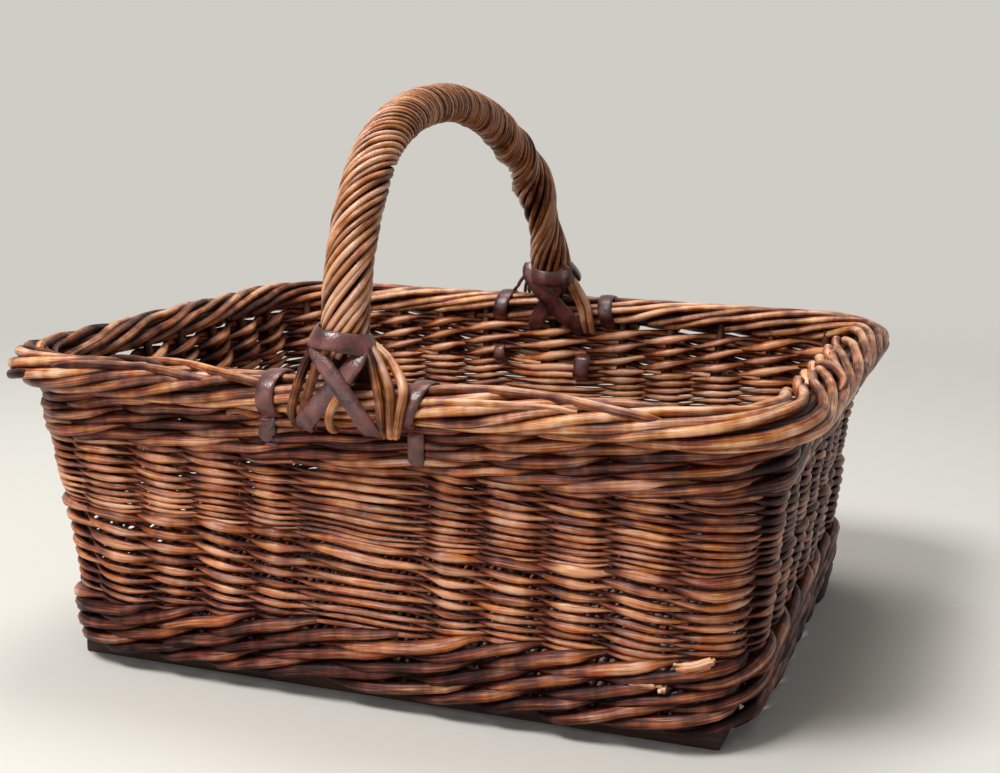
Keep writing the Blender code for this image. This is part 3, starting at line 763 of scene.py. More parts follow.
def half_width_at(x):
    """Half the base's width where it is cut across, narrower in its rounded corners."""
    half_length, half_width = (length / 2 - base_inset for length in base_size[:2])
    corner = base_size[2]
    past = abs(x - base_shift) - (half_length - corner)
    return half_width if past <= 0 else half_width - corner + math.sqrt(max(corner ** 2 - past ** 2, 0))


def base_rods():
    """The lengthwise sticks and the rods woven across them, out to the stakes that they are tied to."""
    width = base_high.y - base_low.y
    left, right = base_low.x + base_reach, base_high.x - base_reach
    spread = (width - 2 * base_margin) / (base_stick_count - 1)
    rods = []
    for index in range(base_stick_count):
        y = -width / 2 + base_margin + spread * index
        ends = [Vector((x, y, base_level)) for x in (left, right)]
        rods.append((ends, [base_stick_radius] * 2, 0.3 + 0.05 * index, 0.4))
    reach = base_stick_radius + base_rod_radius
    for number in range(int((right - left) / base_rod_spacing)):
        x = left + base_rod_radius + base_rod_spacing * number
        half = half_width_at(x) - base_rod_radius
        path = []
        for step in range(base_rod_steps + 1):
            y = -half + 2 * half * step / base_rod_steps
            wave = math.cos(math.pi * ((y + width / 2 - base_margin) / spread + number))
            sway = base_sway * noise.noise(Vector((number * 1.7, y * 30, 0)))
            path.append(Vector((x + sway, y, base_level + reach * wave)))
        rods.append((path, [base_rod_radius] * len(path), noise.cell(Vector((number, 3, 5))), 0.6))
    return rods


woven_base = laid_rods("base_weave", base_rods(), weave_willow, step=0.005, sides=6)

# %% [markdown]
# ## The rolled border
# At the top the stakes, with a few rods pushed in beside them, are bent down to the right and become
# the border. Each rod comes up from under the border, rolls over its outer face and top while it travels
# past six more stakes, and is cut off under the inside. All do the same, a step apart, so they lie side
# by side all round the section. The tree turns each rod round an oval section while it moves along the
# border's line.

# %% Tree: a rolled border
# How far a rod strays from its place round the section, in turns, and how unlike its thickness is
border_stray = 0.20
border_unevenness = 0.5
border_tree, node, given = new_tree("rolled_border", {
    "Rods": 45, "Rods across": 7.0, "Start": -0.28, "Span": 6.75, "Half depth": 0.014,
    "Half height": 0.0105, "Butt": 0.0031, "Tip": 0.0025, "Wobble": 0.0024, "Points": 64, "Seed": 5,
    "Material": "Material"})
drawn, number, factor = copied_lines(node, given["Rods"], given["Points"])
unlike = node("RandomValue", {"Min": 0.90, "Max": 1.06, "ID": number, "Seed": given["Seed"]})
passed = node("MULTIPLY", factor, node("MULTIPLY", given["Span"], unlike))
stake = node("MULTIPLY_ADD", number, node("DIVIDE", float(stake_count), given["Rods"]), passed)
ring_place, ring_way = sampled(node, border_line, share_of_stake(node, stake))
shift = shaken(node, (stake, number, given["Seed"]), (0.5, 3.7, 2.9))
rolled = node("ADD", node("DIVIDE", passed, given["Rods across"]), given["Start"])
angle = node("MULTIPLY", node("MULTIPLY_ADD", shift["X"], border_stray, rolled), 2 * math.pi)
thick = node("MapRange", factor, 0, 1, given["Butt"], given["Tip"])
radius = node("MULTIPLY", thick, node("MULTIPLY_ADD", shift["Y"], border_unevenness, 1.0))
inset = node("SUBTRACT", node("MULTIPLY", shift["Z"], given["Wobble"]), radius)
across, upward = (node("MULTIPLY", node(wave, angle), node("ADD", given[reach], inset))
                  for reach, wave in (("Half depth", "COSINE"), ("Half height", "SINE")))
moved = node("VectorMath.SCALE", square_to(node, ring_way), across)
raised = node("CombineXYZ", 0, 0, upward)
beside = node("VectorMath.ADD", ring_place, moved)
placed = node("SetPosition", drawn, {"Position": node("VectorMath.ADD", beside, raised)})
away = node("VectorMath.NORMALIZE", node("VectorMath.ADD", moved, raised))
tint = node("RandomValue", {"ID": number, "Seed": given["Seed"]})
close_tree(node, given, placed, radius=radius, crown=0.7, tint=tint, sides=10, face=away)

border = grow(guide_mesh("border"), border_tree, half_depth=border_depth / 2,
              half_height=border_height / 2, material=border_willow)

# %% [markdown]
# Some rods of the border lie by chance: a few were threaded back over their neighbours, a few broke
# and show pale splinters, and the cut ends of others stand proud of its inside. They are drawn by
# a few chosen points, near their places in the picture.

# %% Lay the border's stray rods
# Radius in mm, tint, crown, and points in mm along the front, degrees round the section and mm outwards
stray_routes = (
    (2.6, 0.6, 0.8, ((34, 60, -3), (48, 70, -0.4), (66, 84, 0), (88, 80, 0.4), (110, 68, 0.4),
                     (132, 48, 0.2), (148, 38, -0.6), (160, 32, -3))),
    (1.9, 0.9, 1.15, ((48, 33, -3), (58, 34, -0.8), (72, 36, -0.4), (92, 39, -0.5), (108, 40, -1),
                      (118, 40, -2.5))),
    (2.5, 0.0, 0.3, ((-150, 120, -3), (-142, 112, -0.3), (-128, 102, 0), (-116, 95, -1), (-108, 90, -3))),
    (2.5, 0.7, 0.8, ((-134, 120, -3), (-120, 110, 0), (-96, 90, 0.4), (-74, 62, 0.4), (-56, 46, 0),
                     (-48, 42, -2), (-42, 40, -5))),
    (2.6, 0.4, 0.7, ((-172, 40, -3), (-158, 46, 0), (-136, 54, 0.2), (-110, 54, 0), (-88, 40, -0.4),
                     (-72, 34, -3))),
    (2.6, 0.5, 0.6, ((292, 30, -3), (302, 44, 0), (316, 70, 0.3), (330, 100, 0.3), (344, 130, 0),
                     (350, 146, -2))),
    (2.7, -0.1, 0.3, ((-222, -44, -3), (-212, -32, -0.2), (-200, -18, 0.2), (-190, -4, -0.4), (-182, 6, -3))),
    (3.3, 0.7, 0.8, ((190, 112, -3), (214, 122, -0.6), (240, 138, 0.6), (262, 150, 1.8), (280, 158, 2.4))),
    (2.9, 0.5, 0.8, ((-262, 96, -3), (-246, 108, -0.2), (-228, 116, 0.2), (-212, 108, -0.2), (-198, 92, -3))),
)
# Stray rods lie this many mm deeper than their routes say
stray_depth = 0.3
# Radius in mm, tint and the places in mm of broken ends
broken_routes = (
    (2.4, 1.9, ((137, -162.8, 33.6), (145, -164.8, 34.4), (154, -164.9, 35.4), (161, -164.2, 36.0))),
    (2.7, 1.9, ((161, -160.4, 45.2), (169, -162.0, 46.4), (177, -161.2, 48.8), (183, -158.9, 51.0))),
    (2.0, 0.7, ((-72, -171.5, 154.6), (-65, -174.6, 156.4), (-58, -174.8, 155.8), (-53, -171.5, 154.6))),
)
# Each broken end is split into this many splinters, this share of its radius thick
splinters = 6
splinter_share = 0.55
# Radius in mm of the cut ends, and where each stands, in mm along the border from its front middle
stub_radius = 3.0
stub_ways = (294, 318, 344, 372, 402, 436)


def border_at(way, turn, lift=0.0):
    """A point on the border: millimetres to the right of its front middle, and degrees round its section."""
    place, out = outline_at(border_size, way / 1000 / perimeter(border_size))
    turn = math.radians(turn)
    return place + out * (border_depth / 2 + lift) * math.cos(turn) + Vector(
        (0, 0, border_middle + (border_height / 2 + lift) * math.sin(turn)))


def stray_rods():
    """Rods laid over the border, each along its own way and tapered at both ends."""
    rods = []
    for radius, tint, crown, route in stray_routes:
        knots = [border_at(way, turn, (lift - stray_depth) / 1000) for way, turn, lift in route]
        path = smooth_path(knots, 6)
        ends = [min(1, 0.5 + 0.1 * min(index, len(path) - 1 - index)) for index in range(len(path))]
        rods.append((path, [radius / 1000 * share for share in ends], tint, crown))
    return laid_rods("stray_rods", rods, border_willow, step=0.003, sides=10)


def broken_ends():
    """Pale splinters where a rod broke, and the cut ends that stand proud of the border's inside."""
    rods = []
    for piece, (radius, tint, route) in enumerate(broken_routes):
        path = smooth_path([Vector(place) / 1000 for place in route], 5)
        thin = splinter_share * radius / 1000
        for splinter in range(splinters):
            turn = 2 * math.pi * splinter / splinters
            chance = noise.cell(Vector((splinter, piece, 5)))
            aside = thin * Vector((0, math.cos(turn), math.sin(turn)))
            kept = path[int(5 * chance):len(path) - 2 * (splinter % 3)]
            radii = [thin * (0.9 + 0.6 * noise.noise(place * 400)) for place in kept]
            rods.append(([place + aside for place in kept], radii, tint - 0.7 * chance, 1.0))
    for number, way in enumerate(stub_ways):
        chance = noise.cell(Vector((number, 2, 9)))
        route = ((way, 180, -5), (way + 4, 170, -1.5), (way + 8, 160, 0.5), (way + 11, 153 - 6 * chance, 1.5))
        path = smooth_path([border_at(at, turn, lift / 1000) for at, turn, lift in route], 5)
        rods.append((path, [stub_radius / 1000] * len(path), 0.8 - 0.6 * chance, 0.8))
    return laid_rods("broken_ends", rods, border_willow, step=0.001, sides=10)


strays = stray_rods()
broken = broken_ends()

# %% Fill the middle of the border
core_rod_radius = 0.0034
core_steps = 180
core_offsets = ((-0.0050, -0.0015), (0.0045, 0.0), (0.0, 0.0015), (-0.0010, -0.0045))


def border_core():
    """Plain rods along the inside of the border, seen only between the rods rolled round them."""
    rods = []
    for out, up in core_offsets:
        path = []
        for step in range(core_steps + 1):
            place, direction = outline_at(border_size, step / core_steps)
            path.append(place + out * direction + Vector((0, 0, border_middle + up)))
        rods.append((path, [core_rod_radius] * len(path), 0.2, 0.0))
    return laid_rods("border_core", rods, stake_willow, step=0.006)


core = border_core()

# %% [markdown]
# ## The bow handle
# A stout rod is bent into a bow, and thinner rods are laid side by side and roped round it. They run
# steeply up the front leg, lie nearly square across the top, where they are pulled fine and tight, and
# come down the rear leg loose and chunky. The bow's line is drawn through chosen shares of its reach
# and height. At each point it carries how many turns the roping has made and how thick a rod is there,
# worked out so that the rods always lie against each other.

# %% Draw the bow and work out its roping
arch_foot_overhang = 0.0005
arch_reach = border_size[1] / 2 + arch_foot_overhang
arch_height = 0.1337
arch_shares = (
    (-1.00, 0.00), (-1.00, 0.22), (-0.95, 0.50), (-0.80, 0.80), (-0.57, 0.95), (-0.28, 1.00),
    (-0.06, 0.98), (0.16, 0.92), (0.375, 0.81), (0.58, 0.675), (0.785, 0.40), (0.87, 0.22),
    (0.96, 0.00),
)
roping_rods = 14
roping_start_share = 0.025
# Angle of the roping to the bow, in degrees, and radius of its rods' centres, along the bow
lay_shares = ((0.0, 33), (0.15, 38), (0.28, 50), (0.40, 62), (0.56, 62), (0.68, 46), (0.80, 28), (1.0, 20))
girth_shares = ((0.0, 0.0103), (0.25, 0.0104), (0.5, 0.0096), (0.8, 0.0104), (1.0, 0.0102))
# How far the roping gathers into two bundles, and how worn it is along the bow, with the top and the
# rear leg painted darker as shade
bundle_shares = ((0.0, 0.0), (0.6, 0.0), (0.78, 1.0), (1.0, 1.0))
wear_and_light_shares = ((0.0, 0.95), (0.25, 0.95), (0.40, 0.6), (0.6, 0.3), (0.8, 0.4), (1.0, 0.5))


def along_bow(table):
    """The values of a short table of shares at each point of the bow, blended between its rows."""
    values = []
    for share in bow_shares:
        (start, low), (end, high) = next(
            rows for rows in zip(table, table[1:]) if share <= rows[1][0] or rows[1] == table[-1])
        values.append(low + (high - low) * (share - start) / (end - start))
    return values


def bow_line():
    """The centre line of the bow over the border, front foot first."""
    knots = []
    for back, up in arch_shares:
        turn = (back + 1) / 2
        knots.append(Vector((
            front_foot_x + (rear_foot_x - front_foot_x) * turn,
            back * arch_reach,
            border_high.z + up * arch_height,
        )))
    return smooth_path(knots, 16)


bow = bow_line()
bow_lengths = [0.0]
for start, end in zip(bow, bow[1:]):
    bow_lengths.append(bow_lengths[-1] + (end - start).length)
bow_shares = [length / bow_lengths[-1] for length in bow_lengths]
girths, bundles, worn = (along_bow(table) for table in (girth_shares, bundle_shares, wear_and_light_shares))
turns, rod_radii = [0.0], []
for index, (girth, degrees) in enumerate(zip(girths, along_bow(lay_shares))):
    lay = math.radians(degrees)
    rod_radii.append(math.pi * girth * math.cos(lay) / roping_rods)
    if index:
        step = bow_lengths[index] - bow_lengths[index - 1]
        turns.append(turns[-1] + step * math.tan(lay) / (2 * math.pi * girth))
print(f"bow {bow_lengths[-1] * 1000:.0f} mm long, {turns[-1]:.1f} turns of roping")

# %% Tree: rods roped round a line
# How far rods draw together into a bundle, in turns, and how far a bundle bulges and its rods differ
bundle_draw = 0.045
bundle_bulge = 0.16
roping_unevenness = 0.5
roping_tree, node, given = new_tree("roping", {
    "Line": "Geometry", "Rods": 14, "Points": 220, "Start": 0.02, "Loose": 0.0012, "Seed": 2,
    "Material": "Material"})
line = node("MeshToCurve", given["Line"])
finish = node("SUBTRACT", 1.0, given["Start"])
short = node("TrimCurve", line, {"Start": given["Start"], "End": finish}, mode="FACTOR")
even = node("ResampleCurve", short, {"Count": given["Points"]})
copies = node("DuplicateElements", even, {"Amount": given["Rods"]}, domain="SPLINE")
number = copies.outputs["Duplicate Index"]
turn, thick, girth, bundle, wear_and_light_here = (
    node("InputNamedAttribute", label) for label in ("turns", "thickness", "girth", "bundle", "worn"))
part = node("DIVIDE", number, given["Rods"])
twice = node("MULTIPLY", part, 4 * math.pi)
gathered = node("MULTIPLY_ADD", node("MULTIPLY", node("SINE", twice), -bundle_draw), bundle, part)
angle = node("MULTIPLY", node("ADD", turn, gathered), 2 * math.pi)
bulge = node("MULTIPLY_ADD", node("MULTIPLY", node("COSINE", twice), bundle_bulge), bundle, 1.0)
tangent = node("InputTangent")
along = node("VectorMath.PROJECT", (1, 0, 0), tangent)
side = node("VectorMath.NORMALIZE", node("VectorMath.SUBTRACT", (1, 0, 0), along))
other = node("VectorMath.CROSS_PRODUCT", tangent, side)
shift = shaken(node, (turn, number, given["Seed"]), (1.6, 3.9, 8.1))
reach = node("MULTIPLY_ADD", shift["X"], given["Loose"], node("MULTIPLY", girth, bulge))
angle = node("MULTIPLY_ADD", shift["Y"], 0.5, angle)
arms = [node("VectorMath.SCALE", direction, node("MULTIPLY", node(wave, angle), reach))
        for direction, wave in ((side, "COSINE"), (other, "SINE"))]
offset = node("VectorMath.ADD", *arms)
placed = node("SetPosition", copies, {"Offset": offset})
radius = node("MULTIPLY", thick, node("MULTIPLY_ADD", shift["Z"], roping_unevenness, 1.04))
tint = node("RandomValue", {"ID": number, "Seed": given["Seed"]})
close_tree(node, given, placed, radius=radius, crown=wear_and_light_here, tint=tint,
           face=node("VectorMath.NORMALIZE", offset))

bow_guide = guide_mesh("roping", bow, [(index, index + 1) for index in range(len(bow) - 1)],
                       turns=turns, thickness=rod_radii, girth=girths, bundle=bundles, worn=worn)
roping = grow(bow_guide, roping_tree, rods=roping_rods, start=roping_start_share, material=handle_willow)


# %% The bow's own rod, down both legs into the wall
def wall_at(share, height):
    """A point of the wall's centre line at a share of the way round and a height."""
    rise = (height - wall_foot) / (wall_top - wall_foot)
    low, high = outline_at(base_size, share)[0], outline_at(top_size, share)[0]
    place = (low + Vector((base_shift, 0, 0))).lerp(high, rise)
    return Vector((place.x, place.y, height))


leg_radius = stake_radius
core_radii = [max(girth - thickness, leg_radius) for girth, thickness in zip(girths, rod_radii)]
legs = [[wall_at(shares[number], height) for height in (wall_foot + 0.001, wall_top)]
        for number in (0, stake_count // 2)]
leg_ends = [leg_radius] * 2 + [leg_radius * 2] * 3
bow_rod = laid_rods("bow", [(
    legs[0] + bow + legs[1][::-1], leg_ends + core_radii[3:-3] + leg_ends[::-1], 0.3, 0.0,
)], stake_willow, sides=12)

# %% [markdown]
# ## Rod ends that fan out
# Under each collar some of the roping rods spread and turn down over the border, and their ends are
# tucked in beneath it. They are few and each has its own way, so they are drawn by a few chosen
# points: how far beside the foot, how far out from the border's middle and how high over it, in mm.

# %% Lay the fanned rod ends
fan_rod_radius = 0.0025
fan_routes = {
    "front_left": (
        ((-11.0, 7.5, 28), (-15.5, 12.0, 20), (-19.0, 17.0, 6), (-21.5, 17.4, -5), (-21.0, 12.5, -12.5),
         (-20.0, 6.0, -15.0)),
        ((-3.0, 12.5, 28), (-7.5, 16.0, 19), (-12.0, 17.6, 6), (-15.0, 17.3, -6), (-15.5, 12.5, -12.5),
         (-15.5, 6.0, -15.0)),
        ((12.5, 9.0, 26), (11.0, 15.0, 17), (5.0, 17.5, 6), (-1.0, 17.6, -5), (-2.5, 12.5, -12.5),
         (-3.5, 6.0, -15.0)),
    ),
    "front_right": (
        ((13.0, 7.0, 28), (18.5, 11.0, 22), (25.2, 17.3, 7), (26.5, 17.3, -6), (25.5, 12.5, -13),
         (24.0, 6.0, -15.2)),
        ((14.0, 4.0, 28), (21.5, 8.0, 21.5), (30.8, 16.7, 9), (31.4, 17.4, -4), (29.4, 12.5, -13),
         (27.0, 6.0, -15.2)),
        ((14.5, 0.0, 28), (25.5, 4.0, 21.5), (36.6, 13.7, 11), (36.2, 17.2, -2), (32.6, 13.0, -12.6),
         (29.5, 6.0, -15.0)),
    ),
    "rear_right": (
        ((10.0, -22.0, 28), (16.0, -21.0, 18), (21.5, -18.0, 6), (24.0, -17.2, -5), (24.5, -12.5, -12)),
        ((12.5, -17.5, 28), (19.5, -17.5, 18), (26.0, -17.0, 7), (28.5, -17.0, -4), (29.0, -12.5, -12)),
    ),
}
# Rods further from the collar are more worn, and the rear ones are painted lighter, as painted light
fan_tint_step = 0.3
rear_fan_painted_light = 0.6


def at_foot(side, foot_x, x, out, up):
    """A place by a foot of the handle, in mm beside it, out from the border's middle and above it."""
    return Vector((foot_x + x / 1000, side * (border_size[1] / 2 + out / 1000), border_middle + up / 1000))


def fan_rods(name, side, foot_x, routes):
    """Rod ends beside a foot of the handle."""
    rods = []
    for number, route in enumerate(routes):
        path = smooth_path([at_foot(side, foot_x, *knot) for knot in route], 6)
        thins = [fan_rod_radius * (1.05 - 0.2 * index / len(path)) for index in range(len(path))]
        tint = 0.2 + fan_tint_step * number + (rear_fan_painted_light if side > 0 else 0)
        rods.append((path, thins, tint, 0.9))
    return laid_rods(name, rods, handle_willow, step=0.0015, sides=10)


# The side of the basket that each foot stands on, and its place along it
feet = {"front": (-1, front_foot_x), "rear": (1, rear_foot_x)}
fans = {label: fan_rods(f"fan_rods_{label}", *feet[label.split("_")[0]], routes)
        for label, routes in fan_routes.items()}

# %% [markdown]
# ## Leather straps
# Each foot of the handle is bound by one strap wound round it as a flaring collar, whose ends cross
# over the border and are tucked in beneath it. Beside each foot a second strap goes right round the
# border, and its end lies down over the top wale. A strap is a flat strip with rounded edges that
# follows a route. It is modelled directly: at each point of the route stands the same section, turned
# to face outwards, with its own width and a little buckling.

# %% Build a strap along a route
strap_thickness = 0.0015
strap_width = 0.010
# The section of a strap, as shares of its half width across and of its half thickness outwards
outer_face = ((-0.98, 0.7), (-0.93, 1.0), (-0.45, 1.05), (0.0, 1.1), (0.45, 1.05), (0.93, 1.0), (0.98, 0.7))
inner_face = tuple((across, -min(abs(out), 1.0)) for across, out in reversed(outer_face))
strap_section = (*outer_face, (1.0, 0.0), *inner_face, (-1.0, 0.0))
# Points further out than this share of the width are the strap's darker edge
edge_share = 0.45
# Waves of a strap's buckling in a metre, and how many more for each metre of roughness
buckle_waves = 60
buckle_waves_by_roughness = 5e4


def add_strip(mesh, route, closed=False, cup=0.0003, seed=0.0, rough=0.0005):
    """Adds a strap to a mesh. The route holds a place, an outward direction and a width at each point."""
    rings, last = [], len(route) - 1
    edge = mesh.verts.layers.float.get("edge") or mesh.verts.layers.float.new("edge")
    for index, (place, out, width) in enumerate(route):
        before = route[index - 1 if index or closed else 0][0]
        after = route[(index + 1) % len(route) if closed else min(index + 1, last)][0]
        along = (after - before).normalized()
        across = along.cross(out).normalized()
        out = across.cross(along)
        ring = []
        for aside, outward in strap_section:
            side = width / 2 * aside
            rise = strap_thickness / 2 * outward - cup * aside * aside
            point = place + across * side + out * rise
            waves = buckle_waves + buckle_waves_by_roughness * rough
            buckle = rough * noise.noise((place + across * side * 0.5) * waves + Vector((seed, 0, 0)))
            ring.append(mesh.verts.new(point + out * buckle))
            ring[-1][edge] = 1.0 if abs(side) > edge_share * width else 0.0
        rings.append(ring)
    pairs = list(zip(rings, rings[1:])) + ([(rings[-1], rings[0])] if closed else [])
    for ring, following in pairs:
        for step in range(len(ring)):
            near = (step + 1) % len(ring)
            mesh.faces.new((ring[step], ring[near], following[near], following[step]))
    if not closed:
        mesh.faces.new(list(reversed(rings[0])))
        mesh.faces.new(rings[-1])


def strap_route(knots, steps=7):
    """A smooth strap route through knots of a place, an outward direction and a width."""
    places = smooth_path([Vector(place) for place, _, _ in knots], steps)
    route = []
    for index, place in enumerate(places):
        knot, share = min(divmod(index / steps, 1), (len(knots) - 1, 0))
        following = knots[min(int(knot) + 1, len(knots) - 1)]
        out = Vector(knots[int(knot)][1]).lerp(Vector(following[1]), share).normalized()
        route.append((place, out, knots[int(knot)][2] * (1 - share) + following[2] * share))
    return route


# %% Bind the feet of the handle
collar_turn_steps = 40
collar_start = 0.12
collar_level = 0.0192
collar_reach = 0.0150
# A second layer lies this much further out, and neither is quite round
collar_layer = 0.0016
collar_ripple = 0.0005
# How far the loop hangs down on one side, and how far it sways on the way round
collar_droop = 0.0024
collar_sway = 0.0004
collar_width = 0.0150
collar_flare = 0.50
# How much narrower it is all round, and how much more where it faces the front
collar_trim = 0.0014
collar_front_trim = 0.0036


def collar(name, side, foot_x, tilt_mm, cross_routes):
    """The strap round a foot of the handle, and its crossed ends over both faces of the border."""
    mesh = bmesh.new()
    level = border_high.z + collar_level
    at = min(range(1, len(bow) - 1), key=lambda index: (bow[index].y * side < 0, abs(bow[index].z - level)))
    axis = (bow[at + 1] - bow[at - 1]).normalized() * -side
    other = axis.cross(Vector((1, 0, 0))) * -side
    route = []
    for step in range(collar_turn_steps * 9 // 8 + 1):
        turn = 2 * math.pi * (step / collar_turn_steps - collar_start) * side
        radial = Vector((math.cos(turn), 0, 0)) + side * math.sin(turn) * other
        ripple = collar_ripple * math.sin(3 * turn + 1)
        reach = collar_reach + collar_layer * step / collar_turn_steps + ripple
        droop = Vector((0, 0, -collar_droop * math.cos(turn) + collar_sway * math.sin(2 * turn)))
        narrowed = collar_trim + collar_front_trim * max(-radial.y, 0)
        place = bow[at] + radial * reach + droop + axis * narrowed / 2
        route.append((place, radial + collar_flare * axis, collar_width - narrowed))
    add_strip(mesh, route, cup=0.0006, seed=side * 3.1)
    for number, points in enumerate(cross_routes):
        knots = [(at_foot(side, foot_x, x, out, up),
                  (0, side * (1 if out > 0 else -1), max(up, 0) / tilt_mm), width / 1000)
                 for x, out, up, width in points]
        add_strip(mesh, strap_route(knots), cup=0.0005, seed=number * 2.3)
    return solid_object(name, mesh, strap_leather)


def crossed_end(face, *points):
    """A route over the outer or the inner face of the border: beside the foot, out, up and width in mm."""
    return [(x, face * out, up, width) for x, out, up, width in points]


front_collar = collar("front_collar", -1, front_foot_x, 30, (
    crossed_end(1, (11, 6.5, 31, 8), (12.5, 13.0, 23.5, 9.5), (8.5, 17.0, 16.5, 10), (-3, 18.6, 3, 10.5),
                (-12, 19.4, -7, 10.5), (-15.5, 16.5, -12.5, 10.5), (-16, 12, -14.5, 10.5)),
    crossed_end(1, (-8.5, 9, 32, 8), (-8, 15.5, 25.5, 8.5), (4, 19.8, 12, 8.5), (13, 20.8, 1, 8.5),
                (19, 20.4, -7, 9), (21.5, 17, -12.5, 9), (21.5, 12, -14.5, 9)),
    crossed_end(-1, (-9, 8.5, 28, 8.5), (-6, 14.5, 22, 8.5), (4, 16.8, 9, 8.5), (14, 17, -4, 8.5),
                (19, 14.5, -11, 8.5), (20, 11, -14, 8.5)),
    crossed_end(-1, (9, 9, 28, 8.5), (6, 16.2, 22, 8.5), (-4, 18.5, 9, 8.5), (-14, 18.7, -4, 8.5),
                (-19, 16.0, -11, 8.5), (-20, 11, -14, 8.5))))
rear_collar = collar("rear_collar", 1, rear_foot_x, 110, (
    crossed_end(-1, (12.5, 24.0, 34, 9), (11.0, 27.0, 28, 11.5), (4, 25.5, 16, 11.5), (-6, 19.5, 1, 11),
                (-11.5, 16.5, -8, 10), (-12.5, 11, -13.5, 10)),
    crossed_end(-1, (-12.5, 25.0, 35, 9), (-11.5, 28.2, 28, 12), (-3, 27.4, 16, 12.5), (11, 21, -1, 12),
                (19.5, 17, -9, 10.5), (22, 11, -14, 10.5)),
    [(-17, -13, 30, 2.4), (-19, -12, 27, 2.4), (-27, -6, 19, 2.4), (-33, 0.5, 11.8, 2.4)],
    [(-16, -15, 28, 2.2), (-18, -14, 24, 2.2), (-22, -8, 17, 2.2), (-24, -3, 11.8, 2.2)],
    [(-14, -17, 26, 2.0), (-16, -15, 22, 2.0), (-19, -10, 15, 2.0), (-20, -5, 11.8, 2.0)],
    [(24.0, -15.5, -29, 11), (24, -19.0, -31, 11), (23.5, -20.5, -38, 11), (23, -20.0, -43, 11),
     (23, -16, -46, 10)],
    [(-38, -14.5, -26, 8), (-37.5, -18.5, -28, 8), (-37, -19.5, -34, 8), (-37, -15.0, -38, 7)],
    crossed_end(1, (-9, -1, 28, 8.5), (-6, 6.5, 22, 8.5), (4, 15, 8, 8.5), (14, 17, -4, 8.5),
                (19, 14.5, -11, 8.5), (20, 11, -14, 8.5)),
    crossed_end(1, (9, 0, 28, 8.5), (6, 8.5, 22, 8.5), (-4, 17, 8, 8.5), (-14, 18.7, -4, 8.5),
                (-19, 16.0, -11, 8.5), (-20, 11, -14, 8.5))))

# %% Strap the border on both sides of each foot
rim_spread = 0.0385
rim_gap = 0.0009
rim_steps = 36
# How far out from the wall's centre line a tail lies
tail_reach = 0.0072
# A tail's knots: how far out from its reach and up from the wall's top, the tilt and the share of width
tail_knots = (
    (-0.005, 0.0035, 0.5, 1.0), (0.0008, -0.0005, 0.4, 1.0), (0.0012, -0.009, 0, 1.0),
    (0.0, -0.0155, -0.1, 1.0), (-0.0035, -0.0185, -0.7, 0.9),
)


def rim_strap(label, hand, slant, tail_shift, tail_width, tail_crumple):
    """A strap round the border beside a foot, with its end down over the top wale."""
    side, foot_x = feet[label.split("_")[0]]
    x = foot_x + hand * rim_spread
    mesh = bmesh.new()
    loop = []
    depth, height = border_depth / 2 + rim_gap, border_height / 2 + rim_gap
    for step in range(rim_steps):
        turn = 2 * math.pi * step / rim_steps
        out, up = depth * math.cos(turn), height * math.sin(turn)
        place = Vector((x + slant * math.sin(turn), side * (border_size[1] / 2 + out), border_middle + up))
        facing = Vector((0, side * math.cos(turn) / depth, math.sin(turn) / height))
        loop.append((place, facing, strap_width))
    add_strip(mesh, loop, closed=True, seed=x * 90, cup=0.0004)
    tail_y = side * (tail_reach - wall_at(shares[0], wall_top).y)
    knots = [((x + tail_shift, tail_y + side * out, wall_top + up), (0, side, tilt), tail_width * share)
             for out, up, tilt, share in tail_knots]
    add_strip(mesh, strap_route(knots, 5), cup=0.0008, seed=x * 60, rough=tail_crumple)
    return solid_object(f"rim_strap_{label}", mesh, strap_leather)


# Which hand of its foot each stands on, its slant, and its tail's shift, width and crumple
rim_straps = {label: rim_strap(label, *sizes) for label, *sizes in (
    ("front_left", -1, 0.0003, -0.0060, 0.0100, 0.0040),
    ("front_right", 1, 0.0040, -0.0012, 0.0090, 0.0006),
    ("rear_left", -1, 0.0015, 0.0, 0.0095, 0.0006),
    ("rear_right", 1, -0.0025, -0.004, 0.0095, 0.0006),
)}

# %% [markdown]
# ## Runners
# Two strips of dark wood are fixed under the base. Their edges are worn round.

# %% Saw the runners
runner_wear = 0.0014
sharp_angle = math.radians(40)


def runner(name, packed):
    """A worn wooden strip in the place of a packed runner."""
    low, high = (Vector(corner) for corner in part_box(packed))
    mesh = bmesh.new()
    bmesh.ops.create_cube(mesh, size=1.0)
    for vert in mesh.verts:
        vert.co = Vector(low[axis] + (vert.co[axis] + 0.5) * (high[axis] - low[axis]) for axis in range(3))
    bmesh.ops.bevel(mesh, geom=mesh.edges[:], offset=runner_wear, segments=3, profile=0.5, affect="EDGES")
    made = solid_object(name, mesh, dark_wood)
    made.data.set_sharp_from_angle(angle=sharp_angle)
    return made


runners = {packed: runner(packed.replace("runner", "worn_runner"), packed)
           for packed in ("runner_front", "runner_rear")}

# %% [markdown]
# ## Hand the pieces over
# Each piece rides the root body and takes the place of its imported nodes. The lines that only guided
# the trees have done their work and are removed.

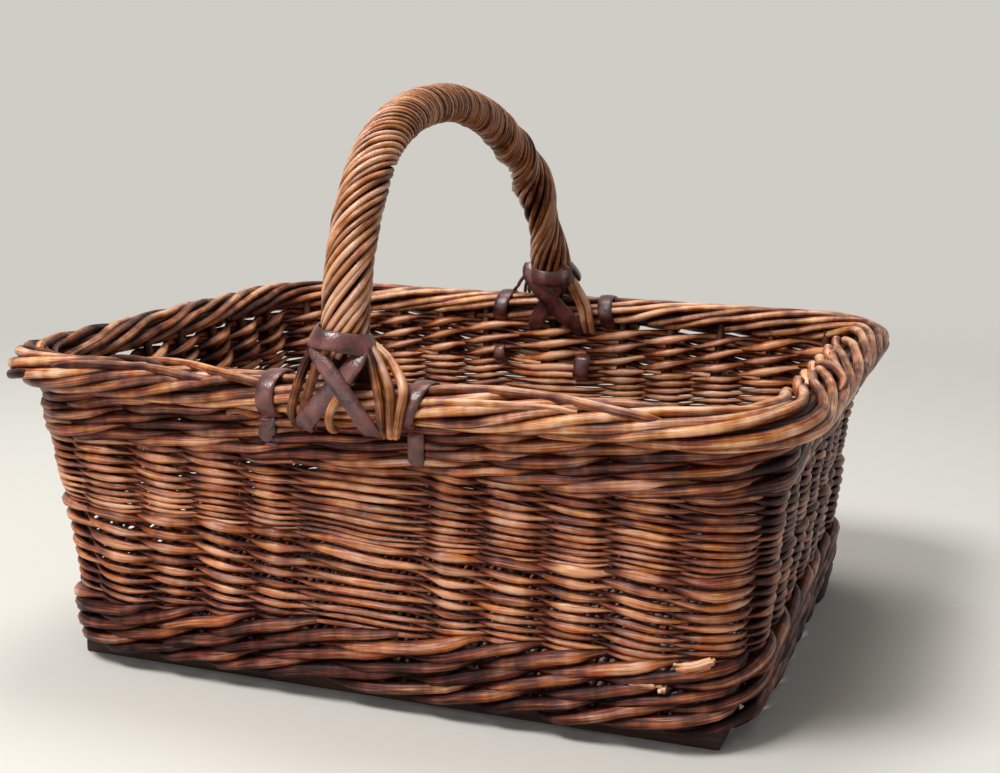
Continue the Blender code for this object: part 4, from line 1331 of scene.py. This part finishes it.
# %% Ride and replace
for piece, nodes, finish in (
    (stakes, [f"stake_{number:02d}" for number in range(1, 35)], "stake_willow"),
    (foot_wale, ["foot_wale"], "willow"),
    (top_wale, ["top_wale"], "willow"),
    (lower_rand, ["lower_rand_thin", "lower_rand_thick"], "willow"),
    (upper_rand, ["upper_rand_thin", "upper_rand_thick"], "willow"),
    (woven_base, ["woven_base"], "willow"),
    (border, ["rolled_border"], "willow"),
    (core, ["rolled_border"], "stake_willow"),
    (strays, ["rolled_border"], "willow"),
    (broken, ["rolled_border"], "willow"),
    (roping, [f"handle_winding_{number}" for number in range(1, 7)], "handle_willow"),
    (bow_rod, ["handle_bow"], "handle_willow"),
    (front_collar, ["strap_collar_front"], "leather"),
    (rear_collar, ["strap_collar_rear"], "leather"),
    *((strap, [f"rim_strap_{label}"], "leather") for label, strap in rim_straps.items()),
    *((fan, [f"fan_rod_{label}"], "handle_willow") for label, fan in fans.items()),
    *((strip, [packed], "runner_wood") for packed, strip in runners.items()),
):
    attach(piece, "root")
    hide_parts(*nodes)
for line in (foot_line, top_line, border_line, stake_line):
    bpy.data.objects.remove(line)

# %% [markdown]
# ## Studio
# The floor is plain and pale. Away from the basket it fades, for the camera only, into the same flat
# colour as the world behind it, so the picture has no horizon and the basket keeps its shadow. Lamps
# and world light the basket so that a colour renders about as it is written.

# %% Floor and world
backdrop_colour = "#cfcdc6"
floor_fades = (0.55, 1.5)
floor_half = 4
world_strength = 0.36


def camera_ray(node):
    """One where a ray comes from the camera, or from it by way of a mirror or glass."""
    light_path = node("LightPath").outputs
    seen = node("MAXIMUM", light_path["Is Camera Ray"], light_path["Is Glossy Ray"])
    return node("MAXIMUM", seen, light_path["Is Transmission Ray"])


def pale_floor():
    """A matt floor that fades into the backdrop's colour."""
    made, node, shader = new_material("pale_floor")
    fill(shader, {"Base Color": linear("#d8d5cd"), "Roughness": 0.9})
    away = node("VectorMath.LENGTH", node("TexCoord").outputs["Object"])
    faded = node("MapRange", away, *floor_fades, interpolation_type="SMOOTHSTEP")
    plain = node("Emission", {"Color": linear(backdrop_colour)})
    mixed = node("MixShader", node("MULTIPLY", faded, camera_ray(node)), shader, plain)
    fill(made.node_tree.nodes["Material Output"], {"Surface": mixed})
    return made


floor_mesh = bpy.data.meshes.new("floor")
corners = [(x * floor_half, y * floor_half, 0) for x, y in ((-1, -1), (1, -1), (1, 1), (-1, 1))]
floor_mesh.from_pydata(corners, [], [(0, 1, 2, 3)])
floor_mesh.materials.append(pale_floor())
floor = linked("floor", floor_mesh)

world = bpy.data.worlds.new("studio")
bpy.context.scene.world = world
world.use_nodes = True
node, sky = partial(add, world.node_tree), world.node_tree.nodes
fill(sky["Background"], {"Color": linear("#dcdcda"), "Strength": world_strength})
plain = node("Background", {"Color": linear(backdrop_colour), "Strength": 1.0})
fill(sky["World Output"], {"Surface": node("MixShader", camera_ray(node), sky["Background"], plain)})

# %% Lamps and camera
lamp_aim = Vector((0, 0, 0.1))
# Place, size in metres and power in watts
lamps = {
    "key": ((-0.5, -1.0, 1.9), 0.7, 38),
    "fill": ((-0.9, -2.0, 0.6), 1.2, 8),
    "top": ((-0.2, 0.45, 2.1), 0.9, 17),
}
for name, (place, size, power) in lamps.items():
    lamp = bpy.data.lights.new(name, "AREA")
    lamp.size = size
    lamp.energy = power
    made = linked(name, lamp)
    made.location = place
    made.rotation_euler = (lamp_aim - Vector(place)).to_track_quat("-Z", "Y").to_euler()

# The camera stands where the photograph's camera stood, worked out from the basket's outlines
camera_place = (0.3193, -0.8438, 0.3186)
right = Vector((0.9396, 0.342, 0.0127))
up = Vector((-0.0772, 0.1757, 0.9814))
forward = Vector((-0.3335, 0.9231, -0.1915))
camera_data = bpy.data.cameras.new("camera")
camera_data.sensor_width = 36
camera_data.lens = 54.79
camera = linked("camera", camera_data)
turned = Matrix((right, up, -forward)).transposed().to_4x4()
camera.matrix_world = Matrix.Translation(camera_place) @ turned
bpy.context.scene.camera = camera
bpy.context.scene.view_settings.view_transform = "Standard"
print(len(lamps), "lamps and a camera")
